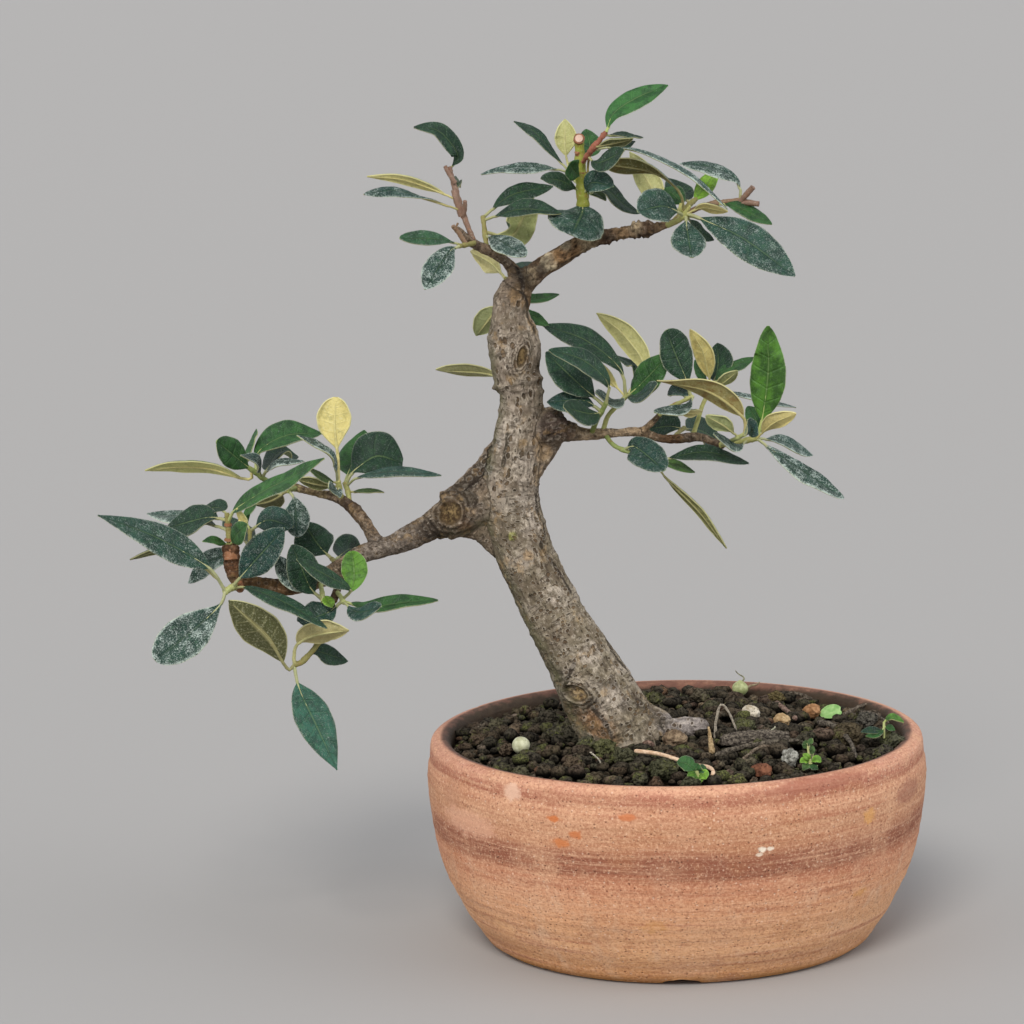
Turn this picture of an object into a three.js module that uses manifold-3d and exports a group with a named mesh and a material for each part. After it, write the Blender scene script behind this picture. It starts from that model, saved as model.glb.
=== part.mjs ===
// A small leaning tree in a round terracotta bowl, in millimetres, +Z up.
// It is laid out about the pot's axis with the foot at z = 0, and then moved so that the origin is
// under the middle of the whole object.
import * as THREE from "three";
import { mergeVertices } from "three/addons/utils/BufferGeometryUtils.js";
import Module from "manifold-3d";

const wasm = await Module();
wasm.setup();

// Pot
const potHeight = 75;
const potRadius = 90;
const wall = 7.7;
const footRadius = 68;
const footWidth = 9;
const footHeight = 3;
const floorTop = 10;
const drainRadius = 7;
const archWidth = 15;
const archHeight = 2.5;
const archCount = 3;
const archTurn = -91.5; // degrees, the arch that faces the viewer
const potSides = 44;

// Soil
const soilEdge = 71.4;
const soilMound = 5;
const soilRough = 0.9;
const soilSides = 30;
const screenRadius = 17;
const screenThick = 1;
const screenHole = 3;
const screenPitch = 5.2;

// Clearances and facets
const gap = 0.3;
const tolerance = 0.02; // shorter edges that a join or cut leaves are closed up
const stemSides = 5;
const woodSides = 9;
const leafThick = 0.9;
const stalkRadius = 0.55;
const stalkShare = 0.16; // of a leaf's length, where it isn't given with the leaf
const spread = 1.5; // how far the shoots and leaves reach in depth, against the depths given below

// The view that the tree is laid out in: a long lens in front of the pot, looking slightly down.
// A place in the picture is [across, down] in pixels, and a place on a stem has its depth in mm as
// a third number, away from the viewer.
const view = { focal: 4190, middle: 512, distance: 1500, aimX: -57.5, aimZ: 156.4, tilt: 10, roll: -1.2 };

const rad = (degrees) => (degrees * Math.PI) / 180;
const vec = (x, y, z) => new THREE.Vector3(x, y, z);

const toViewer = vec(0, -Math.cos(rad(view.tilt)), Math.sin(rad(view.tilt)));
const levelUp = vec(0, Math.sin(rad(view.tilt)), Math.cos(rad(view.tilt)));
const across = vec(Math.cos(rad(view.roll)), 0, 0).addScaledVector(levelUp, Math.sin(rad(view.roll)));
const upward = vec(-Math.sin(rad(view.roll)), 0, 0).addScaledVector(levelUp, Math.cos(rad(view.roll)));
const eye = vec(view.aimX, 0, view.aimZ).addScaledVector(toViewer, view.distance);

function sight(px, py) {
  return toViewer
    .clone()
    .negate()
    .addScaledVector(across, (px - view.middle) / view.focal)
    .addScaledVector(upward, (view.middle - py) / view.focal);
}

// The point seen at a place in the picture, at a depth or at a height.
function atDepth(px, py, depth) {
  const ray = sight(px, py);
  return eye.clone().addScaledVector(ray, (depth - eye.y) / ray.y);
}

function atHeight(px, py, height) {
  const ray = sight(px, py);
  return eye.clone().addScaledVector(ray, (height - eye.z) / ray.z);
}

// ---- Solids ----

// A closed mesh as a solid. Triangles that shrank to a line at a pole are dropped.
function solidOf(geometry) {
  const bare = geometry.clone();
  bare.deleteAttribute("normal");
  bare.deleteAttribute("uv");
  const merged = mergeVertices(bare, 1e-4);
  const index = merged.index.array;
  const place = merged.attributes.position;
  const corner = [vec(0, 0, 0), vec(0, 0, 0), vec(0, 0, 0)];
  const kept = [];
  let volume = 0;
  for (let i = 0; i < index.length; i += 3) {
    const [a, b, c] = [index[i], index[i + 1], index[i + 2]];
    if (a === b || b === c || c === a) continue;
    kept.push(a, b, c);
    corner.forEach((p, k) => p.fromBufferAttribute(place, index[i + k]));
    volume += corner[0].dot(corner[1].cross(corner[2])) / 6;
  }
  if (volume < 0) kept.reverse();
  const mesh = { numProp: 3, vertProperties: place.array, triVerts: new Uint32Array(kept), tolerance };
  return new wasm.Manifold(new wasm.Mesh(mesh));
}

function geometryOf(solid) {
  const mesh = solid.getMesh();
  const geometry = new THREE.BufferGeometry();
  geometry.setAttribute("position", new THREE.BufferAttribute(new Float32Array(mesh.vertProperties), 3));
  geometry.setIndex(new THREE.BufferAttribute(new Uint32Array(mesh.triVerts), 1));
  geometry.computeVertexNormals();
  return geometry;
}

function join(solids) {
  return solids.reduce((all, solid) => all.add(solid));
}

// What is left of a solid around others that were swollen by the gap: its largest body.
function clearOf(solid, others) {
  const left = others.reduce((rest, other) => rest.subtract(other), solid);
  return left.decompose().sort((a, b) => b.volume() - a.volume())[0];
}

// A skin over rings of equal count, closed at both ends by a fan. With `paired`, every second strip
// is cut along its other diagonal, so that the two sides of a thin blade bend alike.
function loft(rings, paired = false) {
  const count = rings[0].length;
  const points = rings.flat();
  const index = [];
  for (let r = 0; r + 1 < rings.length; r++) {
    for (let k = 0; k < count; k++) {
      const [a, b] = [r * count + k, r * count + ((k + 1) % count)];
      if (paired && k % 2 === 1) index.push(a, b, b + count, a, b + count, a + count);
      else index.push(a, b, a + count, b, b + count, a + count);
    }
  }
  const last = points.length - count;
  for (let k = 1; k + 1 < count; k++) {
    index.push(0, k + 1, k);
    index.push(last, last + k, last + k + 1);
  }
  const geometry = new THREE.BufferGeometry().setFromPoints(points);
  geometry.setIndex(index);
  return geometry;
}

function smoothLine(points) {
  return new THREE.CatmullRomCurve3(points, false, "catmullrom", 0.5);
}

// A round limb with a radius for each place on its line, or evenly between two, and a ring about
// every `step` mm.
function limb(points, radii, sides, step, grow = 0) {
  const line = smoothLine(points);
  const steps = Math.max(points.length - 1, Math.ceil(line.getLength() / step));
  const across = line.getTangent(0).cross(vec(0.3, 0.9, 0.1)).normalize();
  const rings = [];
  for (let i = 0; i <= steps; i++) {
    const share = i / steps;
    const at = share * (radii.length - 1);
    const low = Math.min(Math.floor(at), radii.length - 2);
    const radius = THREE.MathUtils.lerp(radii[low], radii[low + 1], at - low) + grow;
    const along = line.getTangent(share);
    const centre = line.getPoint(share);
    if (i === 0) centre.addScaledVector(along, -grow);
    if (i === steps) centre.addScaledVector(along, grow);
    across.addScaledVector(along, -across.dot(along)).normalize();
    const second = along.clone().cross(across);
    const ring = [];
    for (let k = 0; k < sides; k++) {
      const angle = (2 * Math.PI * k) / sides;
      const point = centre.clone().addScaledVector(across, radius * Math.cos(angle));
      ring.push(point.addScaledVector(second, radius * Math.sin(angle)));
    }
    rings.push(ring);
  }
  return solidOf(loft(rings));
}

// ---- Leaves ----

// Half the blade's width at a share of its length, as a share of half its greatest width.
const bladeShape = (t) => Math.pow(Math.sin(Math.PI * Math.pow(t, 0.87)), 0.7);

const leafFold = 14; // degrees that each half rises from the midrib

// The direction a blade's top side faces. At face 0 it is seen edge-on, at 90 its top and at -90
// its underside faces the viewer.
function bladeNormal(along, face) {
  const near = toViewer.clone().addScaledVector(along, -toViewer.dot(along)).normalize();
  const over = along.clone().cross(near);
  if (over.z < 0) over.negate();
  return over.multiplyScalar(Math.cos(rad(face))).addScaledVector(near, Math.sin(rad(face)));
}

// The midrib: from the nearest point of the stem through the leaf's places in the picture, drifting
// to `away` mm behind the stem at the tip.
function midrib(leaf, stem) {
  const [px, py] = leaf.path[0];
  let best = { far: Infinity };
  for (let i = 0; i + 1 < stem.length; i++) {
    const [a, b] = [stem[i], stem[i + 1]];
    const run = (b[0] - a[0]) ** 2 + (b[1] - a[1]) ** 2;
    const share = ((px - a[0]) * (b[0] - a[0]) + (py - a[1]) * (b[1] - a[1])) / run;
    const t = THREE.MathUtils.clamp(share, 0, 1);
    const point = a.map((value, k) => value + (b[k] - value) * t);
    const far = Math.hypot(point[0] - px, point[1] - py);
    if (far < best.far) best = { far, point };
  }
  const root = best.point;
  const places = best.far > 4 ? [root, ...leaf.path] : [root, ...leaf.path.slice(1)];
  const runs = [0];
  for (let i = 1; i < places.length; i++) {
    const step = Math.hypot(places[i][0] - places[i - 1][0], places[i][1] - places[i - 1][1]);
    runs.push(runs[i - 1] + step);
  }
  const whole = runs[runs.length - 1];
  const drift = (i) => spread * leaf.away * Math.pow(runs[i] / whole, 0.85);
  return places.map(([x, y], i) => atDepth(x, y, root[2] + drift(i)));
}

function leafSolid(leaf, stem, grow = 0) {
  const points = midrib(leaf, stem);
  const line = smoothLine(points);
  const length = line.getLength();
  const stalk = leaf.stalk ?? stalkShare;
  const bladeStations = points.length > 3 ? [0, 0.2, 0.48, 0.78, 1] : [0, 0.3, 0.68, 1];
  const stations = [0, ...bladeStations.map((t) => stalk + (1 - stalk) * t)];
  const rings = stations.map((station, i) => {
    const along = line.getTangentAt(station);
    const centre = line.getPointAt(station);
    const normal = bladeNormal(along, leaf.face);
    const side = along.clone().cross(normal);
    const blade = Math.max(0, (station - stalk) / (1 - stalk));
    const half = Math.max(stalkRadius, (leaf.width / 2) * bladeShape(Math.min(blade, 0.97))) + grow;
    const thick = (i < 2 ? stalkRadius : leafThick / 2) + grow;
    const lift = i < 2 ? 0 : half * Math.tan(rad(leafFold));
    if (i === 0) centre.addScaledVector(along, -Math.min(grow, length));
    if (i === stations.length - 1) centre.addScaledVector(along, grow);
    centre.addScaledVector(normal, -lift / 2);
    const edge = (sign) => centre.clone().addScaledVector(side, sign * half).addScaledVector(normal, lift);
    const face = (sign) => centre.clone().addScaledVector(normal, sign * thick);
    return [edge(-1), face(1), edge(1), face(-1)];
  });
  return solidOf(loft(rings, true));
}

// ---- Layout of the tree, by places in the picture ----

// The trunk and the old branches that grew from it: centre line and radius in mm at each place.
const wood = {
  trunk: {
    line: [[636, 790, -13], [622, 742, -10], [597, 692, -8], [575, 651, -7], [547, 601, -5], [524, 551, -4],
      [509, 500, -3], [512, 472, -2], [518, 440, -2], [522, 397, -1], [517, 371, 0], [515, 350, 0],
      [512, 330, 0], [510, 312, 0], [512, 297, 0]],
    radii: [17, 15.5, 13.4, 11.7, 10.7, 10.3, 10.8, 10, 8.8, 7.6, 8.8, 9.5, 8.3, 6.8, 7],
  },
  crownBase: { line: [[511, 302, 0], [517, 288, 0], [522, 277, 0]], radii: [6.8, 5.8, 4.4] },
  crownRight: {
    line: [[518, 289, 0], [530, 277, 0], [543, 266, 1], [560, 257, 2], [576, 247, 3], [590, 240, 4], [622, 233, 5],
      [640, 230, 5], [658, 227, 4], [676, 221, 2]],
    radii: [4.6, 4.2, 3.6, 3.4, 3.3, 3, 2.6, 2.5, 2.1, 1.5],
  },
  crownLeft: {
    line: [[520, 280, 0], [508, 264, -2], [494, 253, -4], [479, 246, -6], [468, 239, -8], [456, 228, -9]],
    radii: [3.2, 2.1, 1.9, 1.7, 1.6, 1.3],
  },
  leftRidge: { line: [[502, 446, -2], [487, 471, -3], [470, 494, -5]], radii: [1.8, 3, 4.6] },
  leftKnob: { line: [[484, 500, -3], [462, 512, -5], [444, 518, -6]], radii: [9, 8.4, 8] },
  leftHeel: { line: [[460, 521, -5], [484, 529, -4], [504, 550, -4]], radii: [5.2, 5.2, 4] },
  left: {
    line: [[452, 516, -6], [434, 525, -8], [413, 536, -10], [390, 545, -11], [363, 554, -13], [345, 565, -14],
      [325, 577, -15], [304, 584, -16], [284, 587, -17], [259, 584, -18], [241, 583, -18]],
    radii: [7, 6, 4.8, 3.9, 3.5, 3.6, 3.4, 3.4, 3.3, 2.6, 2.4],
  },
  leftEnd: { line: [[243, 585, -18], [234, 574, -18], [230, 545, -18]], radii: [2.4, 2.8, 2.8] },
  leftUpper: {
    line: [[380, 548, -12], [372, 535, -9], [363, 520, -4], [350, 505, 4], [335, 497, 10], [315, 493, 15],
      [297, 488, 19], [282, 485, 22]],
    radii: [3.3, 3, 2.7, 2.4, 2.2, 1.8, 1.6, 1.3],
  },
  leftLower: { line: [[348, 564, -14], [340, 582, -17], [333, 602, -20]], radii: [2, 1.7, 1.5] },
  rightKnob: { line: [[526, 430, -2], [545, 427, 0], [560, 427, 1]], radii: [7.4, 6.6, 5.4] },
  rightHeel: { line: [[528, 486, -3], [538, 462, -2], [548, 440, 0]], radii: [2.6, 3.8, 4.8] },
  right: {
    line: [[552, 428, 0], [572, 432, 2], [590, 434, 4], [616, 433, 6], [640, 432, 9], [659, 438, 11],
      [677, 439, 12], [700, 437, 12], [725, 446, 10]],
    radii: [4.6, 4.1, 2.6, 2, 2, 2, 2, 1.8, 1.4],
  },
  rightUpper: { line: [[641, 432, 9], [652, 422, 7], [661, 413, 5]], radii: [1.4, 1.3, 1.1] },
  surfaceRoot: { line: [[622, 722, -6], [655, 727, -11], [684, 727, -11], [706, 728, -11]], radii: [5, 4, 3.4, 2] },
  rootLeft: { line: [[600, 735, -6], [575, 735, -2], [553, 755, 0]], radii: [7, 4, 1.6] },
  rootFront: { line: [[625, 760, -14], [628, 790, -26], [620, 815, -36]], radii: [9, 5, 2] },
  rootBack: { line: [[622, 750, -4], [640, 760, 12], [655, 775, 28]], radii: [9, 5, 2] },
};

// Each young shoot: its stem, the stem's radii, its colour, and the leaves that grow on it.
const leafColours = {
  dark: "#2c4a40", teal: "#2f5a52", grey: "#5d7570", green: "#3f7a3f", bright: "#5aa03a",
  olive: "#76783f", yellow: "#bcb968", pale: "#a9b877",
};

const shoots = {
  left_shoot_1: {
    stem: [[283, 486, 22], [266, 480, 22], [252, 470, 21], [240, 462, 20]], radii: [1.2, 0.9],
    leaves: [
      { tint: "yellow", width: 10, away: 6, face: -25, path: [[250, 473], [248, 479], [212, 467], [178, 465], [145, 470]] },
      { tint: "teal", width: 14, away: -8, face: 55, path: [[249, 469], [236, 460], [223, 444]] },
      { tint: "green", width: 8, away: 10, face: 20, path: [[247, 464], [250, 447], [256, 429]] },
      { tint: "green", width: 14, away: 8, face: 38, path: [[257, 470], [259, 450], [286, 434], [322, 433]] },
      { tint: "dark", width: 11, away: 20, face: 35, path: [[263, 476], [278, 452], [298, 456]] },
      { tint: "grey", width: 8, away: -8, face: 18, path: [[262, 476], [276, 462], [304, 461]] },
      { tint: "grey", width: 7, away: -14, face: 22, path: [[262, 476], [257, 461], [241, 455]] },
    ],
  },
  left_shoot_2: {
    stem: [[296, 488, 18], [291, 490, 14], [287, 491, 12]], radii: [1, 0.9],
    leaves: [
      { tint: "olive", width: 10, away: 10, face: -45, path: [[287, 491], [272, 499], [253, 504]] },
      { tint: "grey", width: 10, away: -6, face: -75, path: [[288, 490], [294, 498], [296, 513], [297, 537]] },
    ],
  },
  left_shoot_3: {
    stem: [[342, 501, 7], [340, 490, 5], [338, 481, 4]], radii: [1.2, 1],
    leaves: [
      { tint: "grey", width: 9, away: -10, face: 15, path: [[338, 481], [334, 457], [318, 445], [297, 435]] },
      { tint: "yellow", width: 12, away: 2, face: -88, stalk: 0.3, path: [[339, 482], [338, 458], [335, 428], [335, 397]] },
      { tint: "olive", width: 5, away: -4, face: 30, path: [[338, 484], [324, 477], [307, 467]] },
      { tint: "olive", width: 7, away: 4, face: -35, path: [[338, 487], [318, 483], [298, 479]] },
      { tint: "grey", width: 7, away: -14, face: 45, path: [[340, 487], [338, 490], [329, 488]] },
    ],
  },
  left_shoot_4: {
    stem: [[350, 506, 6], [348, 492, 9], [345, 483, 11]], radii: [1.2, 1],
    leaves: [
      { tint: "green", width: 13, away: 16, face: 60, path: [[345, 483], [353, 456], [364, 430]] },
      { tint: "dark", width: 15, away: 4, face: 50, path: [[345, 484], [356, 464], [377, 448], [401, 459]] },
      { tint: "teal", width: 9, away: -12, face: 20, path: [[346, 486], [360, 476], [396, 470], [441, 475]] },
      { tint: "olive", width: 5, away: -4, face: 20, path: [[348, 492], [366, 490], [384, 492]] },
    ],
  },
  left_shoot_5: {
    stem: [[230, 549, -18], [229, 536, -18], [228, 525, -18], [227, 513, -18]], radii: [1.3, 0.9],
    leaves: [
      { tint: "dark", width: 13, away: 10, face: 48, path: [[227, 520], [205, 517], [166, 528]] },
      { tint: "grey", width: 11, away: 24, face: 28, path: [[228, 530], [188, 516], [147, 513]] },
      { tint: "dark", width: 8, away: 12, face: 50, path: [[227, 514], [218, 507], [200, 510]] },
      { tint: "bright", width: 13, away: -12, face: 36, stalk: 0.1, path: [[228, 522], [236, 508], [262, 490], [292, 475], [324, 458]] },
      { tint: "yellow", width: 4, away: -3, face: -60, path: [[229, 536], [243, 523], [237, 508]] },
      { tint: "green", width: 4, away: -8, face: 50, path: [[229, 545], [215, 540], [203, 541]] },
      { tint: "green", width: 8, away: -9, face: 60, path: [[229, 546], [236, 535], [247, 524]] },
    ],
  },
  left_shoot_6: {
    stem: [[238, 586, -19], [231, 588, -22], [225, 592, -24]], radii: [1.8, 1.9],
    leaves: [
      { tint: "grey", width: 16, away: -10, face: 58, stalk: 0.26, path: [[225, 590], [206, 564], [152, 530], [99, 514]] },
      { tint: "grey", width: 15, away: -10, face: 78, stalk: 0.1, path: [[226, 593], [219, 606], [190, 632], [156, 661]] },
      { tint: "teal", width: 13, away: -6, face: 80, path: [[231, 586], [243, 574], [262, 552], [284, 528]] },
      { tint: "dark", width: 9, away: -19, face: 30, stalk: 0.1, path: [[234, 587], [252, 588], [290, 604], [327, 628]] },
      { tint: "olive", width: 7, away: 10, face: -20, path: [[227, 590], [204, 566], [168, 548], [130, 559]] },
    ],
  },
  left_shoot_7: {
    stem: [[255, 582, -17], [252, 560, -10], [250, 545, -5], [250, 530, -2]], radii: [1.3, 0.9],
    leaves: [
      { tint: "teal", width: 13, away: -6, face: 55, path: [[250, 531], [268, 519], [293, 526]] },
      { tint: "green", width: 5, away: 6, face: 40, path: [[250, 530], [246, 515], [256, 497]] },
      { tint: "grey", width: 9, away: 14, face: 60, path: [[252, 560], [214, 558], [188, 583]] },
      { tint: "dark", width: 11, away: 28, face: 40, path: [[251, 548], [240, 530], [226, 516]] },
    ],
  },
  left_shoot_8: {
    stem: [[320, 582, -17], [322, 592, -21], [323, 602, -23]], radii: [1.1, 0.9],
    leaves: [
      { tint: "dark", width: 13, away: -2, face: 65, path: [[322, 600], [311, 588], [301, 565], [292, 545]] },
      { tint: "grey", width: 10, away: 2, face: 50, path: [[322, 598], [302, 584], [276, 556]] },
      { tint: "bright", width: 4, away: -4, face: 60, path: [[322, 594], [327, 599], [332, 607]] },
    ],
  },
  left_shoot_9: {
    stem: [[340, 567, -13], [336, 563, -5], [332, 559, 0]], radii: [1.1, 0.9],
    leaves: [
      { tint: "dark", width: 15, away: 8, face: 70, path: [[332, 559], [320, 546], [304, 522]] },
      { tint: "dark", width: 12, away: 24, face: 50, path: [[334, 561], [350, 548], [362, 560]] },
    ],
  },
  left_shoot_10: {
    stem: [[337, 592, -19], [341, 597, -22], [344, 603, -24]], radii: [1.1, 0.9],
    leaves: [
      { tint: "dark", width: 9, away: -8, face: 35, path: [[341, 600], [350, 589], [330, 576], [297, 559]] },
      { tint: "bright", width: 9, away: 6, face: 85, path: [[342, 600], [352, 588], [354, 570], [351, 551]] },
      { tint: "green", width: 9, away: -4, face: 36, stalk: 0.08, path: [[343, 601], [368, 606], [405, 601], [438, 600]] },
      { tint: "green", width: 5, away: 12, face: 30, path: [[343, 602], [366, 606], [386, 610]] },
      { tint: "teal", width: 13, away: -2, face: 50, path: [[342, 601], [326, 612], [297, 620]] },
      { tint: "teal", width: 9, away: -14, face: 40, path: [[343, 602], [358, 611], [381, 606]] },
    ],
  },
  left_shoot_11: {
    stem: [[333, 602, -20], [321, 638, -22], [304, 660, -23], [294, 665, -24]], radii: [1.3, 1.2],
    leaves: [
      { tint: "pale", width: 12, away: -5, face: -45, stalk: 0.3, path: [[294, 664], [295, 648], [306, 636], [326, 631], [349, 630]] },
      { tint: "olive", width: 15, away: -6, face: -65, path: [[293, 668], [289, 679], [262, 651], [229, 600]] },
      { tint: "teal", width: 13, away: -8, face: 72, path: [[295, 667], [300, 690], [318, 728], [338, 770]] },
      { tint: "dark", width: 9, away: 6, face: 45, path: [[305, 660], [318, 651], [348, 661]] },
    ],
  },
  crown_shoot_1: {
    stem: [[473, 240, -7], [461, 208, -6], [454, 185, -5], [449, 167, -5]], radii: [1.3, 0.9],
    leaves: [
      { tint: "dark", width: 12, away: -6, face: 55, path: [[450, 169], [461, 156], [447, 138], [415, 127]] },
      { tint: "yellow", width: 8, away: -4, face: 14, path: [[459, 203], [432, 190], [400, 179], [367, 176]] },
      { tint: "dark", width: 9, away: -14, face: 25, path: [[461, 211], [430, 200], [395, 190], [364, 193]] },
      { tint: "dark", width: 9, away: 24, face: 35, path: [[455, 190], [470, 178], [480, 184]] },
    ],
  },
  crown_shoot_2: {
    stem: [[474, 243, -8], [466, 245, -12], [459, 246, -15]], radii: [1.2, 0.9],
    leaves: [
      { tint: "green", width: 10, away: -8, face: 45, path: [[464, 245], [435, 236], [401, 239]] },
      { tint: "grey", width: 11, away: -12, face: 75, path: [[461, 246], [445, 255], [424, 289]] },
    ],
  },
  crown_shoot_3: {
    stem: [[487, 250, -5], [485, 234, -2], [483, 216, 0]], radii: [1.2, 0.9],
    leaves: [
      { tint: "grey", width: 12, away: -14, face: 60, path: [[486, 238], [503, 242], [524, 258]] },
      { tint: "dark", width: 12, away: 4, face: 45, path: [[483, 217], [512, 192], [552, 185]] },
      { tint: "dark", width: 14, away: -8, face: 45, path: [[484, 220], [522, 208], [561, 213]] },
      { tint: "pale", width: 12, away: 10, face: -70, path: [[485, 232], [510, 236], [522, 218], [533, 197]] },
    ],
  },
  crown_shoot_4: {
    stem: [[516, 283, 2], [511, 283, 8], [506, 279, 12]], radii: [1.2, 0.9],
    leaves: [
      { tint: "pale", width: 10, away: 8, face: -50, path: [[506, 279], [492, 262], [471, 251]] },
      { tint: "dark", width: 11, away: 24, face: 40, path: [[509, 281], [522, 268], [538, 262]] },
    ],
  },
  crown_shoot_5: {
    stem: [[585, 241, 4], [583, 205, 3], [581, 170, 3], [579, 139, 3]], radii: [2.1, 1.9, 1.8, 1.7],
    leaves: [
      { tint: "grey", width: 19, away: -20, face: 60, stalk: 0.1, path: [[583, 207], [580, 210], [582, 239]] },
      { tint: "teal", width: 10, away: -10, face: 60, path: [[583, 196], [592, 182], [613, 186]] },
      { tint: "dark", width: 9, away: -6, face: 48, path: [[582, 192], [561, 180], [541, 178]] },
      { tint: "green", width: 8, away: -9, face: 70, path: [[581, 178], [574, 170], [570, 163]] },
      { tint: "olive", width: 5, away: -6, face: 40, path: [[582, 190], [595, 192], [606, 200]] },
      { tint: "dark", width: 9, away: 14, face: 45, path: [[582, 188], [605, 188], [625, 204], [640, 213]] },
      { tint: "green", width: 9, away: 12, face: 80, path: [[580, 160], [590, 148], [586, 129]] },
    ],
  },
  crown_shoot_6: {
    stem: [[580, 184, 5], [574, 179, 9], [570, 172, 11]], radii: [1.1, 0.9],
    leaves: [
      { tint: "grey", width: 10, away: -6, face: 30, path: [[570, 173], [552, 168], [515, 166], [481, 174]] },
      { tint: "dark", width: 10, away: 6, face: 30, path: [[571, 172], [553, 152], [535, 131], [514, 121]] },
      { tint: "pale", width: 8, away: 2, face: -85, stalk: 0.3, path: [[570, 171], [566, 155], [565, 138], [565, 119]] },
    ],
  },
  crown_shoot_7: {
    stem: [[583, 162, -1], [590, 152, -4], [598, 142, -5], [607, 131, -5]], radii: [1.4, 1.3],
    leaves: [
      { tint: "bright", width: 12, away: 4, face: 46, stalk: 0.04, path: [[606, 132], [618, 108], [640, 93], [668, 85]] },
      { tint: "dark", width: 6, away: 8, face: 20, path: [[604, 136], [622, 134], [643, 137]] },
      { tint: "grey", width: 9, away: -8, face: 20, path: [[592, 151], [613, 147], [645, 150], [692, 173], [728, 209]] },
      { tint: "olive", width: 6, away: -8, face: -30, path: [[594, 149], [604, 144], [633, 138]] },
      { tint: "dark", width: 9, away: -12, face: 55, path: [[588, 156], [598, 162], [624, 150]] },
      { tint: "dark", width: 6, away: 8, face: 40, path: [[596, 146], [614, 146], [635, 141]] },
    ],
  },
  crown_shoot_8: {
    stem: [[668, 225, 2], [679, 220, -2], [688, 213, -4]], radii: [1.4, 1.2],
    leaves: [
      { tint: "grey", width: 14, away: -12, face: 65, path: [[684, 215], [664, 202], [640, 212]] },
      { tint: "grey", width: 12, away: -12, face: 80, path: [[686, 215], [686, 227], [694, 255]] },
      { tint: "teal", width: 17, away: -10, face: 60, path: [[688, 214], [705, 220], [745, 238], [795, 276]] },
      { tint: "yellow", width: 7, away: -4, face: -25, path: [[688, 213], [703, 206], [728, 211]] },
      { tint: "dark", width: 6, away: 4, face: 50, path: [[687, 216], [701, 232], [714, 240]] },
    ],
  },
  crown_shoot_9: {
    stem: [[672, 223, 4], [683, 212, 7], [690, 204, 9], [696, 199, 11]], radii: [1.3, 1],
    leaves: [
      { tint: "olive", width: 13, away: -8, face: -30, path: [[684, 210], [678, 190], [649, 170], [603, 164]] },
      { tint: "pale", width: 9, away: 10, face: -75, path: [[682, 212], [660, 198], [646, 178], [630, 152]] },
      { tint: "green", width: 9, away: 3, face: 60, path: [[686, 208], [672, 192], [657, 186]] },
      { tint: "green", width: 8, away: 14, face: 60, path: [[690, 204], [686, 190], [690, 178]] },
      { tint: "bright", width: 9, away: 6, face: 80, path: [[694, 201], [703, 187], [719, 170]] },
    ],
  },
  crown_shoot_10: {
    stem: [[677, 220, 1], [691, 211, 2], [712, 204, 2], [738, 201, 3], [758, 204, 3]], radii: [1.3, 1.2],
    leaves: [
      { tint: "grey", width: 10, away: 2, face: 30, path: [[740, 201], [738, 181], [715, 167], [680, 163]] },
      { tint: "green", width: 9, away: -4, face: 40, path: [[715, 204], [738, 206], [772, 224]] },
    ],
  },
  trunk_shoot_1: {
    stem: [[507, 309, 2], [507, 303, 10], [506, 299, 15]], radii: [1.2, 0.9],
    leaves: [
      { tint: "pale", width: 10, away: 6, face: -60, path: [[506, 301], [493, 313], [476, 335]] },
      { tint: "green", width: 7, away: 8, face: 35, path: [[506, 299], [532, 298], [559, 294]] },
      { tint: "green", width: 7, away: -2, face: 40, path: [[507, 303], [530, 314], [549, 325]] },
    ],
  },
  trunk_shoot_2: {
    stem: [[519, 388, 4], [516, 384, 12], [513, 382, 16]], radii: [1.1, 0.9],
    leaves: [
      { tint: "pale", width: 9, away: 4, face: -28, path: [[513, 382], [482, 371], [436, 369]] },
    ],
  },
  right_shoot_1: {
    stem: [[603, 431, 5], [608, 416, 7], [619, 404, 8], [628, 394, 8]], radii: [1.2, 0.9],
    leaves: [
      { tint: "dark", width: 13, away: 2, face: 45, path: [[626, 396], [620, 368], [586, 339], [543, 325]] },
      { tint: "green", width: 12, away: -6, face: 60, path: [[622, 400], [638, 386], [667, 356]] },
      { tint: "teal", width: 8, away: -10, face: 18, path: [[626, 398], [612, 402], [597, 397]] },
      { tint: "teal", width: 8, away: -10, face: 20, path: [[627, 396], [640, 401], [652, 388]] },
      { tint: "pale", width: 10, away: 12, face: -55, path: [[628, 394], [645, 366], [624, 333], [597, 313]] },
      { tint: "dark", width: 7, away: 18, face: 30, path: [[627, 396], [638, 370], [616, 355]] },
      { tint: "yellow", width: 6, away: 20, face: -50, path: [[626, 397], [604, 373], [572, 347]] },
    ],
  },
  right_shoot_2: {
    stem: [[592, 432, 3], [597, 420, -1], [602, 411, -3], [606, 403, -4]], radii: [1.2, 0.9],
    leaves: [
      { tint: "dark", width: 11, away: -8, face: 42, path: [[606, 403], [607, 380], [582, 358], [549, 350]] },
      { tint: "dark", width: 16, away: 2, face: 55, path: [[605, 406], [586, 389], [565, 369], [546, 352]] },
      { tint: "dark", width: 11, away: -2, face: 40, path: [[601, 413], [582, 401], [547, 403]] },
      { tint: "teal", width: 9, away: -14, face: 50, path: [[600, 415], [588, 416], [566, 409]] },
    ],
  },
  right_shoot_3: {
    stem: [[692, 438, 12], [697, 423, 14], [703, 404, 15], [712, 387, 16]], radii: [1.2, 0.9],
    leaves: [
      { tint: "yellow", width: 9, away: -6, face: -70, path: [[711, 388], [706, 368], [700, 347], [691, 329]] },
      { tint: "green", width: 5, away: 2, face: 50, path: [[710, 390], [703, 378], [695, 360]] },
      { tint: "dark", width: 12, away: 10, face: 60, path: [[712, 387], [717, 366], [717, 343]] },
      { tint: "green", width: 8, away: 6, face: 35, path: [[712, 388], [722, 372], [738, 363], [755, 357]] },
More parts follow.
